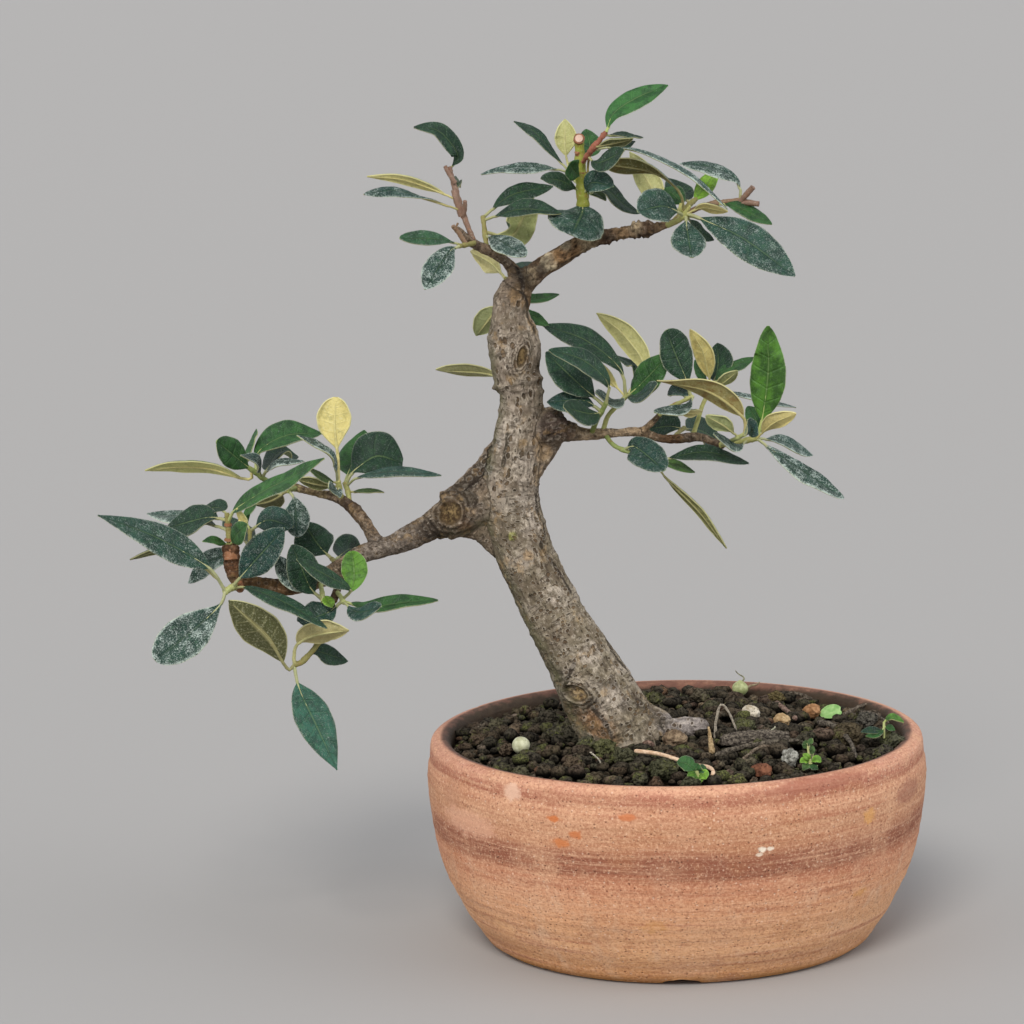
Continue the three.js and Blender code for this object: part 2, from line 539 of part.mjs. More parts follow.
      { tint: "pale", width: 7, away: -4, face: -40, path: [[711, 389], [723, 381], [737, 370]] },
      { tint: "grey", width: 7, away: 14, face: 15, path: [[711, 389], [750, 396], [796, 407]] },
    ],
  },
  right_shoot_4: {
    stem: [[659, 415, 4], [668, 408, 3], [681, 402, 2], [693, 396, 2]], radii: [1, 0.8],
    leaves: [
      { tint: "dark", width: 14, away: -2, face: 65, path: [[691, 397], [685, 375], [675, 350], [667, 330]] },
      { tint: "teal", width: 9, away: 8, face: 55, path: [[688, 399], [682, 392], [672, 385]] },
      { tint: "grey", width: 7, away: -10, face: 25, path: [[692, 396], [682, 406], [657, 412]] },
      { tint: "yellow", width: 6, away: 8, face: -30, path: [[676, 404], [690, 412], [702, 411]] },
    ],
  },
  right_shoot_5: {
    stem: [[720, 445, 10], [738, 442, 8], [757, 438, 6]], radii: [1.4, 1.2],
    leaves: [
      { tint: "bright", width: 14, away: -2, face: 80, path: [[757, 438], [763, 414], [768, 370], [768, 326]] },
      { tint: "yellow", width: 9, away: -10, face: -60, path: [[757, 438], [772, 423], [796, 413]] },
      { tint: "green", width: 9, away: 8, face: 70, path: [[752, 439], [757, 422], [748, 406]] },
      { tint: "grey", width: 8, away: -12, face: 30, path: [[748, 440], [736, 445], [714, 434]] },
      { tint: "grey", width: 9, away: 10, face: 32, path: [[757, 438], [785, 441], [813, 455]] },
      { tint: "grey", width: 10, away: -6, face: 36, stalk: 0.1, path: [[757, 439], [776, 452], [810, 474], [844, 498]] },
    ],
  },
  right_shoot_6: {
    stem: [[722, 444, 9], [733, 440, 2], [745, 434, -2]], radii: [1.1, 0.9],
    leaves: [
      { tint: "olive", width: 14, away: -4, face: -42, path: [[745, 434], [742, 415], [708, 388], [662, 380]] },
      { tint: "pale", width: 8, away: -4, face: -45, path: [[739, 438], [725, 425], [706, 415]] },
      { tint: "teal", width: 7, away: -8, face: 50, path: [[745, 435], [752, 430], [748, 420]] },
    ],
  },
  right_shoot_7: {
    stem: [[606, 436, 4], [615, 446, 0], [634, 454, -2], [654, 462, -3]], radii: [1.1, 0.9],
    leaves: [
      { tint: "teal", width: 13, away: -16, face: 70, path: [[622, 449], [640, 444], [662, 468]] },
      { tint: "olive", width: 7, away: -2, face: 35, path: [[653, 462], [668, 479], [700, 511], [727, 548]] },
      { tint: "dark", width: 9, away: 6, face: 40, path: [[654, 462], [676, 456], [708, 451], [749, 463]] },
      { tint: "pale", width: 6, away: 8, face: 40, path: [[653, 462], [676, 464], [695, 472]] },
    ],
  },
  right_shoot_8: {
    stem: [[672, 440, 12], [678, 433, 18], [684, 428, 22]], radii: [1.1, 0.9],
    leaves: [
      { tint: "dark", width: 12, away: 6, face: 50, path: [[683, 429], [668, 422], [648, 429]] },
      { tint: "dark", width: 12, away: 20, face: 40, path: [[684, 428], [700, 418], [716, 424]] },
    ],
  },
};

// Loose things in the top of the soil: where they are seen, their size across, deep and high in mm.
const stones = {
  round_pellet: { at: [521, 750], size: [6, 6, 5.6], sunk: 0.3, colour: "#bdb79a" },
  tan_stone: { at: [675, 746], size: [8.8, 8, 7], sunk: 0.3, colour: "#9a7b5c" },
  white_stone: { at: [750, 719], size: [6.6, 6, 5], sunk: 0.3, colour: "#c9c3b4" },
  ochre_stone: { at: [782, 728], size: [6.4, 6, 4.6], sunk: 0.3, colour: "#a88a4e" },
  orange_stone: { at: [812, 717], size: [6.8, 6.2, 5], sunk: 0.35, colour: "#b06f43" },
  red_stone: { at: [761, 769], size: [7.4, 6.6, 5.4], sunk: 0.35, colour: "#7a4535" },
  grey_stone: { at: [791, 761], size: [6.6, 6, 4.8], sunk: 0.3, colour: "#a3a09a" },
};

const seedlings = {
  seedling_1: {
    at: [881, 735], height: 9,
    leaves: [
      { width: 5, away: -4, face: 60, path: [[881, 722], [886, 718], [897, 722]] },
      { width: 5, away: 3, face: 60, path: [[881, 722], [876, 716], [868, 719]] },
      { width: 5, away: 4, face: 60, path: [[881, 718], [884, 712], [891, 709]] },
    ],
  },
  seedling_2: {
    at: [810, 762], height: 8,
    leaves: [
      { width: 4, away: -3, face: 60, path: [[810, 748], [815, 744], [825, 749]] },
      { width: 4, away: 3, face: 60, path: [[810, 748], [806, 742], [797, 744]] },
    ],
  },
  seedling_3: {
    at: [695, 777], height: 6,
    leaves: [
      { width: 5, away: -3, face: 70, path: [[695, 767], [700, 764], [708, 770]] },
      { width: 5, away: 3, face: 70, path: [[695, 767], [690, 762], [682, 765]] },
    ],
  },
};

const seedlingRoot = 6; // mm of the stem in the soil
const seedlingRadii = [0.5, 0.45];
const seedlingRise = 2.4; // pixels of stem in the picture for each mm of height
const stalkRadii = [1.2, 1];
const stalkAbove = 0.8;
const stalkLine = [[636, 757], [668, 759], [704, 763], [714, 766], [712, 770]];
const chipSize = [24, 6, 3];
const chipAt = [755, 749];
const chipTurn = 8;
const chipSunk = 1;
const fallenLeafAt = [831, 717];
const fallenLeafSize = [7.2, 5.2, 0.9];
const fallenLeafAbove = 0.9;
const podAt = [740, 690];
const podSize = [6.4, 5.6, 4.8];
const podAbove = 1.4;

// ---- Making the pieces ----

const group = new THREE.Group();

function addPart(name, solid, color, roughness = 0.8) {
  const mesh = new THREE.Mesh(
    geometryOf(solid),
    new THREE.MeshStandardMaterial({ color, roughness, metalness: 0 }),
  );
  mesh.name = name;
  group.add(mesh);
}

// Outer and inner profile of the bowl: radius at shares of the height below the lip.
function potProfile() {
  const lip = 3.5;
  const side = potHeight - lip;
  const outside = [[0.1, 73.7], [0.25, 80], [0.45, 86], [0.65, 88.7], [0.85, potRadius], [1, 88.6]];
  const inside = [[0.85, potRadius - wall], [0.6, 80.6], [0.4, 76.6], [0.22, 70]];
  const crest = 85;
  return [
    [drainRadius, footHeight],
    [footRadius - footWidth, footHeight],
    [footRadius - footWidth + 1, 0],
    [footRadius - 0.8, 0],
    [footRadius, 0.8],
    ...outside.map(([share, radius]) => [radius, share * side]),
    [crest + 2.2, potHeight - 0.9],
    [crest, potHeight],
    [crest - 2.4, potHeight - 0.8],
    [crest - 3.6, potHeight - lip],
    ...inside.map(([share, radius]) => [radius, share * side]),
    [62, floorTop],
    [drainRadius, floorTop],
    [drainRadius, footHeight],
  ].map(([radius, height]) => new THREE.Vector2(radius, height));
}

function makePot() {
  const bowl = solidOf(new THREE.LatheGeometry(potProfile(), potSides));
  const archRadius = (archWidth ** 2 / 4 + archHeight ** 2) / (2 * archHeight);
  const arches = [];
  for (let i = 0; i < archCount; i++) {
    const arch = new THREE.CylinderGeometry(archRadius, archRadius, 3 * footWidth, 28);
    arch.rotateZ(Math.PI / 2);
    arch.translate(footRadius - footWidth / 2, 0, archHeight - archRadius);
    arch.rotateZ(rad(archTurn + (360 / archCount) * i));
    arches.push(solidOf(arch));
  }
  return arches.reduce((pot, arch) => pot.subtract(arch), bowl.rotate([90, 0, 0]));
}

// Height of the soil's surface at a place about the pot's axis.
function soilHeight(x, y) {
  const share = Math.min(1, Math.hypot(x, y) / (potRadius - wall));
  const bumps = Math.sin(0.21 * x + 1) * Math.cos(0.17 * y) + 0.6 * Math.sin(0.43 * x - 0.31 * y);
  return soilEdge + soilMound * (1 - share ** 2) + soilRough * bumps * (1 - share ** 6);
}

function makeSoilBed() {
  const base = floorTop + gap;
  const profile = [
    [0, base],
    [61.4, base],
    [69.5, 15.8],
    [76.1, 28.7],
    [80.1, 43],
    [81.5, 60.7],
    [80.9, soilEdge],
    [68, soilEdge],
    [52, soilEdge],
    [35, soilEdge],
    [18, soilEdge],
    [0, soilEdge],
  ].map(([radius, height]) => new THREE.Vector2(radius, height));
  const bed = new THREE.LatheGeometry(profile, soilSides);
  bed.rotateX(Math.PI / 2);
  const place = bed.attributes.position;
  for (let i = 0; i < place.count; i++) {
    if (place.getZ(i) < soilEdge - 0.01) continue;
    place.setZ(i, soilHeight(place.getX(i), place.getY(i)));
  }
  return solidOf(bed);
}

// A flat disc of mesh with square holes, over the drainage hole.
function makeScreen(grow = 0) {
  const [radius, thick] = [screenRadius + grow, screenThick + 2 * grow];
  const plate = new THREE.CylinderGeometry(radius, radius, thick, 24);
  plate.rotateX(Math.PI / 2);
  const level = floorTop + gap + screenThick / 2;
  plate.translate(0, 0, level);
  const holes = [];
  for (let i = -2; grow === 0 && i <= 2; i++) {
    for (let j = -2; j <= 2; j++) {
      const [x, y] = [i * screenPitch, j * screenPitch];
      if (Math.hypot(x, y) > screenRadius - screenHole) continue;
      const hole = new THREE.BoxGeometry(screenHole, screenHole, 3 * screenThick);
      hole.translate(x, y, level);
      holes.push(solidOf(hole));
    }
  }
  return holes.reduce((screen, hole) => screen.subtract(hole), solidOf(plate));
}

function makeWood(grow = 0) {
  return join(
    Object.values(wood).map(({ line, radii }) =>
      limb(line.map((place) => atDepth(...place)), radii, woodSides, 12, grow),
    ),
  );
}

function makeShoot(shoot, grow = 0) {
  const start = shoot.stem[0][2];
  const places = shoot.stem.map(([px, py, depth]) => [px, py, start + spread * (depth - start)]);
  const stem = limb(places.map((place) => atDepth(...place)), shoot.radii, stemSides, 10, grow);
  return join([stem, ...shoot.leaves.map((leaf) => leafSolid(leaf, places, grow))]);
}

// An uneven stone: a faceted ball pulled to its size and roughened.
function makeStone({ at, size, sunk }, grow = 0) {
  const ball = new THREE.IcosahedronGeometry(0.5, 1);
  const place = ball.attributes.position;
  for (let i = 0; i < place.count; i++) {
    const [x, y, z] = [place.getX(i), place.getY(i), place.getZ(i)];
    const uneven = 1 + 0.07 * Math.sin(9 * x + at[0]) * Math.cos(8 * y + at[1]) + 0.04 * Math.sin(11 * z);
    place.setXYZ(i, x * uneven, y * uneven, z * uneven);
  }
  ball.scale(...size.map((side) => side + 2 * grow));
  const seat = atHeight(...at, soilEdge + soilMound / 2);
  seat.z = soilHeight(seat.x, seat.y) + size[2] * (0.5 - sunk);
  ball.translate(seat.x, seat.y, seat.z);
  return solidOf(ball);
}

function onSoil([px, py], above = 0) {
  const seat = atHeight(px, py, soilEdge + soilMound / 2);
  seat.z = soilHeight(seat.x, seat.y) + above;
  return seat;
}

function makeStalk(grow = 0) {
  return limb(stalkLine.map((place) => onSoil(place, stalkAbove)), stalkRadii, stemSides, 9, grow);
}

function makeChip(grow = 0) {
  const outline = new THREE.Shape();
  const [half, side, thick] = [chipSize[0] / 2 + grow, chipSize[1] / 2 + grow, chipSize[2] + 2 * grow];
  outline.moveTo(-half, -0.6 * side).lineTo(-0.3 * half, -side).lineTo(half, -0.4 * side);
  outline.lineTo(0.9 * half, 0.5 * side).lineTo(0.1 * half, side).lineTo(-0.95 * half, 0.3 * side);
  const chip = new THREE.ExtrudeGeometry(outline.closePath(), { depth: thick, bevelEnabled: false });
  const seat = onSoil(chipAt, -chipSunk - grow);
  chip.rotateZ(rad(chipTurn));
  chip.translate(seat.x, seat.y, seat.z);
  return solidOf(chip);
}

function makeFlatPiece(at, size, above, grow) {
  const ball = new THREE.IcosahedronGeometry(0.5, 1);
  ball.scale(...size.map((side) => side + 2 * grow));
  const seat = onSoil(at, above);
  ball.translate(seat.x, seat.y, seat.z);
  return solidOf(ball);
}

function makeSeedling({ at, height, leaves }, grow = 0) {
  const foot = onSoil(at, -seedlingRoot);
  const head = onSoil(at, height);
  const depth = head.y;
  const stem = [[at[0], at[1], depth], [at[0], at[1] - height * seedlingRise, depth]];
  const stalk = limb([foot, onSoil(at, height / 2), head], seedlingRadii, stemSides, 6, grow);
  return join([stalk, ...leaves.map((leaf) => leafSolid(leaf, stem, grow))]);
}

// ---- Assembly ----

addPart("pot", makePot(), "#b9765a", 0.9);

const woodGrown = makeWood(gap);
addPart("trunk", makeWood(), "#7d6f5e", 0.95);

const seats = [woodGrown, makeScreen(gap)];
const onTop = [];
function addOnSoil(name, solid, grown, color) {
  addPart(name, clearOf(solid, [woodGrown, ...onTop]), color);
  onTop.push(grown);
}
for (const [name, stone] of Object.entries(stones)) {
  addOnSoil(name, makeStone(stone), makeStone(stone, gap), stone.colour);
}
for (const [name, seedling] of Object.entries(seedlings)) {
  addOnSoil(name, makeSeedling(seedling), makeSeedling(seedling, gap), "#5f9440");
}
addOnSoil("dry_stalk", makeStalk(), makeStalk(gap), "#b59a70");
addOnSoil("bark_chip", makeChip(), makeChip(gap), "#3b2f28");
const fallenLeaf = (grow) => makeFlatPiece(fallenLeafAt, fallenLeafSize, fallenLeafAbove, grow);
addOnSoil("fallen_leaf", fallenLeaf(0), fallenLeaf(gap), "#63a83e");
const pod = (grow) => makeFlatPiece(podAt, podSize, podAbove, grow);
addOnSoil("seed_pod", pod(0), pod(gap), "#6f8a3c");

addPart("drainage_screen", makeScreen(), "#2f3a34", 0.6);
addPart("soil", clearOf(makeSoilBed(), [...seats, ...onTop]), "#3a322b", 1);

const grownShoots = [];
for (const [name, shoot] of Object.entries(shoots)) {
  const left = clearOf(makeShoot(shoot), [woodGrown, ...grownShoots]);
  addPart(name, left, leafColours[shoot.leaves[0].tint]);
  grownShoots.push(makeShoot(shoot, gap));
}

// The origin goes under the middle of the whole object.
const bounds = new THREE.Box3().setFromObject(group);
const middle = bounds.getCenter(vec(0, 0, 0));
group.position.set(-middle.x, -middle.y, 0);

export default group;
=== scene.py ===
# A small leaning tree in a round terracotta bowl, dressed around its CAD frame.
import math
import random

import bpy
import numpy as np
from mathutils import Matrix, Vector, noise
from mathutils.bvhtree import BVHTree


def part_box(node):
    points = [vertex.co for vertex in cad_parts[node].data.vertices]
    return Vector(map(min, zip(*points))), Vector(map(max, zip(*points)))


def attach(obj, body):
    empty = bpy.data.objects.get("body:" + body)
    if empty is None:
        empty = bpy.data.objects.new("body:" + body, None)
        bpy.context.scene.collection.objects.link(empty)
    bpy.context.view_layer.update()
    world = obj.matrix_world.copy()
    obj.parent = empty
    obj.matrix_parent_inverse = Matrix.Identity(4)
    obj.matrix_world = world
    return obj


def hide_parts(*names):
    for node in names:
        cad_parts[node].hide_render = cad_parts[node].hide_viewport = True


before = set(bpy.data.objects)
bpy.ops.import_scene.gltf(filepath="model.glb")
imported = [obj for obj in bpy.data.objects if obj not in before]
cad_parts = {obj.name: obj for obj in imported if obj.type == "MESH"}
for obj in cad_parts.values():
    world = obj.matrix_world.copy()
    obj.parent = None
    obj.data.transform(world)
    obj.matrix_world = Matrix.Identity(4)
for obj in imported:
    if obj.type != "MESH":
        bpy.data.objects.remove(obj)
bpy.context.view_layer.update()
bpy.ops.object.select_all(action="DESELECT")
print("frame loaded")

mm = 0.001
potLow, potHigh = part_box("pot")
potAxis = Vector(((potLow.x + potHigh.x) / 2, (potLow.y + potHigh.y) / 2, 0))

# The view that the tree is laid out in and rendered from. A place in the picture is (across, down) in
# pixels of a 1024 pixel square; lengths here are in mm and degrees.
view = {"side": 1024, "focal": 4190, "distance": 1500, "aimX": -57.5, "aimZ": 156.4, "tilt": 10, "roll": -1.2,
        "sensor": 36}


def turned(angle):
    return math.cos(math.radians(angle)), math.sin(math.radians(angle))


tiltCos, tiltSin = turned(view["tilt"])
rollCos, rollSin = turned(view["roll"])
toViewer = Vector((0, -tiltCos, tiltSin))
levelUp = Vector((0, tiltSin, tiltCos))
across = Vector((rollCos, 0, 0)) + levelUp * rollSin
upward = Vector((-rollSin, 0, 0)) + levelUp * rollCos
eye = potAxis + Vector((view["aimX"], 0, view["aimZ"])) * mm + toViewer * view["distance"] * mm


def sight(px, py):
    middle = view["side"] / 2
    return across * ((px - middle) / view["focal"]) + upward * ((middle - py) / view["focal"]) - toViewer


def atDepth(px, py, depth):
    ray = sight(px, py)
    return eye + ray * ((potAxis.y + depth * mm - eye.y) / ray.y)


def atHeight(px, py, height):
    ray = sight(px, py)
    return eye + ray * ((height * mm - eye.z) / ray.z)


# Lines, meshes and pieces

def curvePoint(points, share):
    # a smooth curve through the points, as a Catmull-Rom spline with its ends carried on
    spans = len(points) - 1
    at = min(max(share, 0), 1) * spans
    i = min(int(at), spans - 1)
    t = at - i
    b, c = points[i], points[i + 1]
    a = points[i - 1] if i > 0 else b * 2 - c
    d = points[i + 2] if i + 2 <= spans else c * 2 - b
    return (b * 2 + (c - a) * t + (a * 2 - b * 5 + c * 4 - d) * t ** 2 + (b * 3 - a - c * 3 + d) * t ** 3) / 2


def smoothLine(points, count):
    return [curvePoint(points, i / (count - 1)) for i in range(count)]


def evenLine(points, count):
    # the same curve at equal lengths, with its tangents
    fine = smoothLine(points, 161)
    runs = np.concatenate([[0], np.cumsum([(b - a).length for a, b in zip(fine, fine[1:])])])
    wanted = np.linspace(0, runs[-1], count)
    places = [Vector([np.interp(w, runs, [p[k] for p in fine]) for k in range(3)]) for w in wanted]
    tangents = []
    for i in range(count):
        low, high = max(i - 1, 0), min(i + 1, count - 1)
        tangents.append((places[high] - places[low]).normalized())
    return places, tangents


def readRows(items, key):
    values = np.empty(len(items) * 3)
    items.foreach_get(key, values)
    return values.reshape(-1, 3)


def readPoints(obj):
    return readRows(obj.data.vertices, "co")


def writePoints(obj, points):
    obj.data.vertices.foreach_set("co", np.ascontiguousarray(points, dtype=float).ravel())
    obj.data.update()


def readNormals(obj):
    return readRows(obj.data.vertex_normals, "vector")


def setColours(obj, name, values):
    values = np.asarray(values, dtype=float)
    if values.ndim == 1:
        values = np.tile(values, (len(obj.data.vertices), 1))
    layer = obj.data.attributes.get(name) or obj.data.attributes.new(name, "FLOAT_COLOR", "POINT")
    layer.data.foreach_set("color", values.ravel())


def setVectors(obj, name, values):
    layer = obj.data.attributes.new(name, "FLOAT_VECTOR", "POINT")
    layer.data.foreach_set("vector", np.ascontiguousarray(values, dtype=float).ravel())


def added(name, data):
    obj = bpy.data.objects.new(name, data)
    bpy.context.scene.collection.objects.link(obj)
    return obj


def pick(*objects):
    bpy.ops.object.select_all(action="DESELECT")
    for obj in objects:
        obj.select_set(True)
    bpy.context.view_layer.objects.active = objects[0]


def named(obj, name):
    obj.name = obj.data.name = name
    return obj


def joined(objects, name):
    pick(*objects)
    if len(objects) > 1:
        bpy.ops.object.join()
    return named(bpy.context.view_layer.objects.active, name)


def modified(obj, kind, **settings):
    pick(obj)
    modifier = obj.modifiers.new(kind.lower(), kind)
    for key, value in settings.items():
        setattr(modifier, key, value)
    bpy.ops.object.modifier_apply(modifier=modifier.name)
    return obj


def smooth(obj, angle=None):
    pick(obj)
    if angle is None:
        bpy.ops.object.shade_smooth()
    else:
        bpy.ops.object.shade_smooth_by_angle(angle=math.radians(angle))
    return obj


def finished(obj, material, slotName, *nodes):
    # the piece gets its finish, stands for its CAD nodes and rides on the pot's body
    if material:
        obj.data.materials.clear()
        obj.data.materials.append(material)
    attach(obj, "root")
    if nodes:
        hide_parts(*nodes)
    return obj


def tube(name, points, radii, sides):
    # a round limb along the points, with a radius in metres for each
    curve = bpy.data.curves.new(name, "CURVE")
    curve.dimensions = "3D"
    spline = curve.splines.new("POLY")
    spline.points.add(len(points) - 1)
    for place, point, radius in zip(spline.points, points, radii):
        place.co = (*point, 1)
        place.radius = radius
    curve.bevel_depth = 1
    curve.bevel_resolution = max(sides // 2 - 2, 0)
    curve.use_fill_caps = True
    pick(added(name, curve))
    bpy.ops.object.convert(target="MESH")
    return bpy.context.view_layer.objects.active


def merged(obj, distance=1e-6):
    pick(obj)
    bpy.ops.object.mode_set(mode="EDIT")
    bpy.ops.mesh.select_all(action="SELECT")
    bpy.ops.mesh.remove_doubles(threshold=distance)
    bpy.ops.mesh.normals_make_consistent(inside=False)
    bpy.ops.object.mode_set(mode="OBJECT")
    return obj


def spun(name, outline, steps):
    # the outline's radii and heights in mm, turned about the vertical
    mesh = bpy.data.meshes.new(name)
    edges = [(i, i + 1) for i in range(len(outline) - 1)]
    mesh.from_pydata([(radius * mm, 0, height * mm) for radius, height in outline], edges, [])
    obj = added(name, mesh)
    modified(obj, "SCREW", steps=steps, render_steps=steps, use_merge_vertices=True, merge_threshold=1e-5)
    return merged(obj, 6e-5 if outline[0][0] < 1 else 2e-5)


# Finishes

class Reading:
    # a socket in a finish; sums with it add Math nodes
    def __init__(self, finish, socket):
        self.finish = finish
        self.socket = socket

    def maths(self, operation, *values, **settings):
        inputs = dict(enumerate(values))
        return self.finish.node("Math", {"operation": operation, **settings}, inputs)

    def __add__(self, other):
        return self.maths("ADD", self, other)

    def __radd__(self, other):
        return self.maths("ADD", other, self)

    def __sub__(self, other):
        return self.maths("SUBTRACT", self, other)

    def __rsub__(self, other):
        return self.maths("SUBTRACT", other, self)

    def __mul__(self, other):
        return self.maths("MULTIPLY", self, other)

    def __rmul__(self, other):
        return self.maths("MULTIPLY", other, self)

    def __truediv__(self, other):
        return self.maths("DIVIDE", self, other)

    def __pow__(self, other):
        return self.maths("POWER", self, other)

    def __abs__(self):
        return self.maths("ABSOLUTE", self)

    def clamped(self):
        return self.maths("MAXIMUM", self.maths("MINIMUM", self, 1), 0)

    def sine(self):
        return self.maths("SINE", self)


class Finish:
    def __init__(self, name, **constants):
        self.material = bpy.data.materials.new(name)
        self.material.use_nodes = True
        self.tree = self.material.node_tree
        self.shader = self.tree.nodes["Principled BSDF"]
        for socket, value in constants.items():
            self.shader.inputs[socket.replace("_", " ")].default_value = value

    def node(self, kind, settings=None, inputs=None, out=0):
        node = self.tree.nodes.new("ShaderNode" + kind)
        for key, value in (settings or {}).items():
            if key == "stops":
                ramp = node.color_ramp
                while len(ramp.elements) < len(value):
                    ramp.elements.new(0.5)
                for element, (place, colour) in zip(ramp.elements, value):
                    element.position = place
                    element.color = (*colour, 1)
            else:
                setattr(node, key, value)
        for key, value in (inputs or {}).items():
            self.feed(node.inputs[key], value)
        return Reading(self, node.outputs[out])

    def feed(self, socket, value):
        if isinstance(value, Reading):
            self.tree.links.new(value.socket, socket)
        elif socket.type == "RGBA" and len(value) == 3:
            socket.default_value = (*value, 1)
        else:
            socket.default_value = value

    def set(self, socket, value):
        self.feed(self.shader.inputs[socket], value)

    def place(self, centre=(0, 0, 0), size=(1, 1, 1)):
        # how far a point of the surface lies from the centre, in steps of that size in mm
        scale = tuple(1 / (s * mm) for s in size)
        moved = tuple(-c * s for c, s in zip(centre, scale))
        coords = self.node("TexCoord", out="Object")
        return self.node("Mapping", {}, {"Vector": coords, "Location": moved, "Scale": scale})

    def attribute(self, name, out="Color"):
        return self.node("Attribute", {"attribute_name": name}, out=out)

    def parts(self, vector):
        return [self.node("SeparateXYZ", {}, {"Vector": vector}, out) for out in (0, 1, 2)]

    def stretched(self, vector, scale):
        return self.node("VectorMath", {"operation": "MULTIPLY"}, {0: vector, 1: scale})

    def noise(self, vector, size, detail=4, roughness=0.55, distortion=0):
        # size is that of its largest features, in the vector's own units
        inputs = {"Vector": vector, "Scale": 1 / size, "Detail": detail, "Roughness": roughness,
                  "Distortion": distortion}
        return self.node("TexNoise", {}, inputs)

    def warped(self, vector, amount, size=4):
        # the same coordinates, pushed about by a noise
        push = self.node("TexNoise", {}, {"Vector": vector, "Scale": 1 / size}, "Color")
        centred = self.node("VectorMath", {"operation": "SUBTRACT"}, {0: push, 1: (0.5, 0.5, 0.5)})
        scaled = self.stretched(centred, (amount * 2,) * 3)
        return self.node("VectorMath", {"operation": "ADD"}, {0: vector, 1: scaled})

    def cells(self, vector, size, out="Distance", feature="F1"):
        return self.node("TexVoronoi", {"feature": feature}, {"Vector": vector, "Scale": 1 / size}, out)

    def step(self, value, low, high):
        # 0 where the value is low, 1 where it is high, with a soft change between
        inputs = {"Value": value, "From Min": low, "From Max": high}
        return self.node("MapRange", {"interpolation_type": "SMOOTHSTEP"}, inputs)

    def mix(self, factor, a, b):
        return self.node("Mix", {"data_type": "RGBA"}, {"Factor": factor, 6: a, 7: b}, 2)

    def wash(self, colour, tint, value, low, high, strength=1):
        # the tint comes over the colour as the value goes from low to high
        cover = self.step(value, low, high)
        return self.mix(cover if strength == 1 else cover * strength, colour, tint)

    def done(self, colour, height, depth, strength):
        # the finish with its colour, and a relief that is about that many mm deep
        bump = self.node("Bump", {}, {"Height": height, "Distance": depth * mm, "Strength": strength})
        self.set("Base Color", colour)
        self.set("Normal", bump)
        return self.material


# Stage

stage = {"floor": (0.335, 0.325, 0.316), "floorSize": 80, "world": (0.76, 0.79, 0.84), "worldStrength": 0.78}
# where each lamp stands from the tree, its strength, how many degrees wide it is, and its colour
lamps = {
    "key": ((-0.22, -1.0, 0.88), 2.45, 22, (1, 0.965, 0.92)),
    "back": ((0.95, -0.25, 0.35), 1.25, 50, (0.97, 0.98, 1)),
    "side": ((-0.95, -0.35, 0.25), 0.85, 50, (1, 0.98, 0.96)),
}


def addLight(name, place, strength, wide, colour):
    # a broad lamp far away, so that the floor is lit evenly
    data = bpy.data.lights.new(name, "SUN")
    data.energy = strength
    data.color = colour
    data.angle = math.radians(wide)
    lamp = added(name, data)
    lamp.location = place
    lamp.rotation_euler = (-Vector(place)).to_track_quat("-Z", "Y").to_euler()


def makeStage():
    bpy.ops.mesh.primitive_plane_add(size=stage["floorSize"])
    floor = named(bpy.context.object, "floor")
    floor.location.z = -0.0001
    paper = Finish("floor_paper", Base_Color=(*stage["floor"], 1), Roughness=0.9)
    floor.data.materials.append(paper.material)
    world = bpy.data.worlds.new("studio")
    bpy.context.scene.world = world
    world.use_nodes = True
    backdrop = world.node_tree.nodes["Background"]
    backdrop.inputs["Color"].default_value = (*stage["world"], 1)
    backdrop.inputs["Strength"].default_value = stage["worldStrength"]
    for name, lamp in lamps.items():
        addLight(name, *lamp)
    bpy.context.scene.view_settings.view_transform = "Standard"


def makeCamera():
    data = bpy.data.cameras.new("camera")
    data.sensor_width = view["sensor"]
    data.lens = view["focal"] * view["sensor"] / view["side"]
    data.clip_start = 0.05
    data.clip_end = 30
    camera = added("camera", data)
    camera.matrix_world = Matrix((across, upward, toViewer)).transposed().to_4x4()
    camera.location = eye
    bpy.context.scene.camera = camera


makeCamera()
makeStage()
print("stage and camera made")


# Pot

pot = {"height": 75, "radius": 90, "wall": 7.7, "foot": 68, "footWidth": 9, "floorTop": 10,
       "drain": 7, "crest": 85, "archWidth": 15, "archHeight": 2.5, "archCount": 3, "archTurn": -91.5,
       "steps": 288, "ringHeight": 0.10, "ringsBelow": 71, "wobble": 0.35, "chips": 14,
       "chipDepth": 0.45, "seed": 5}


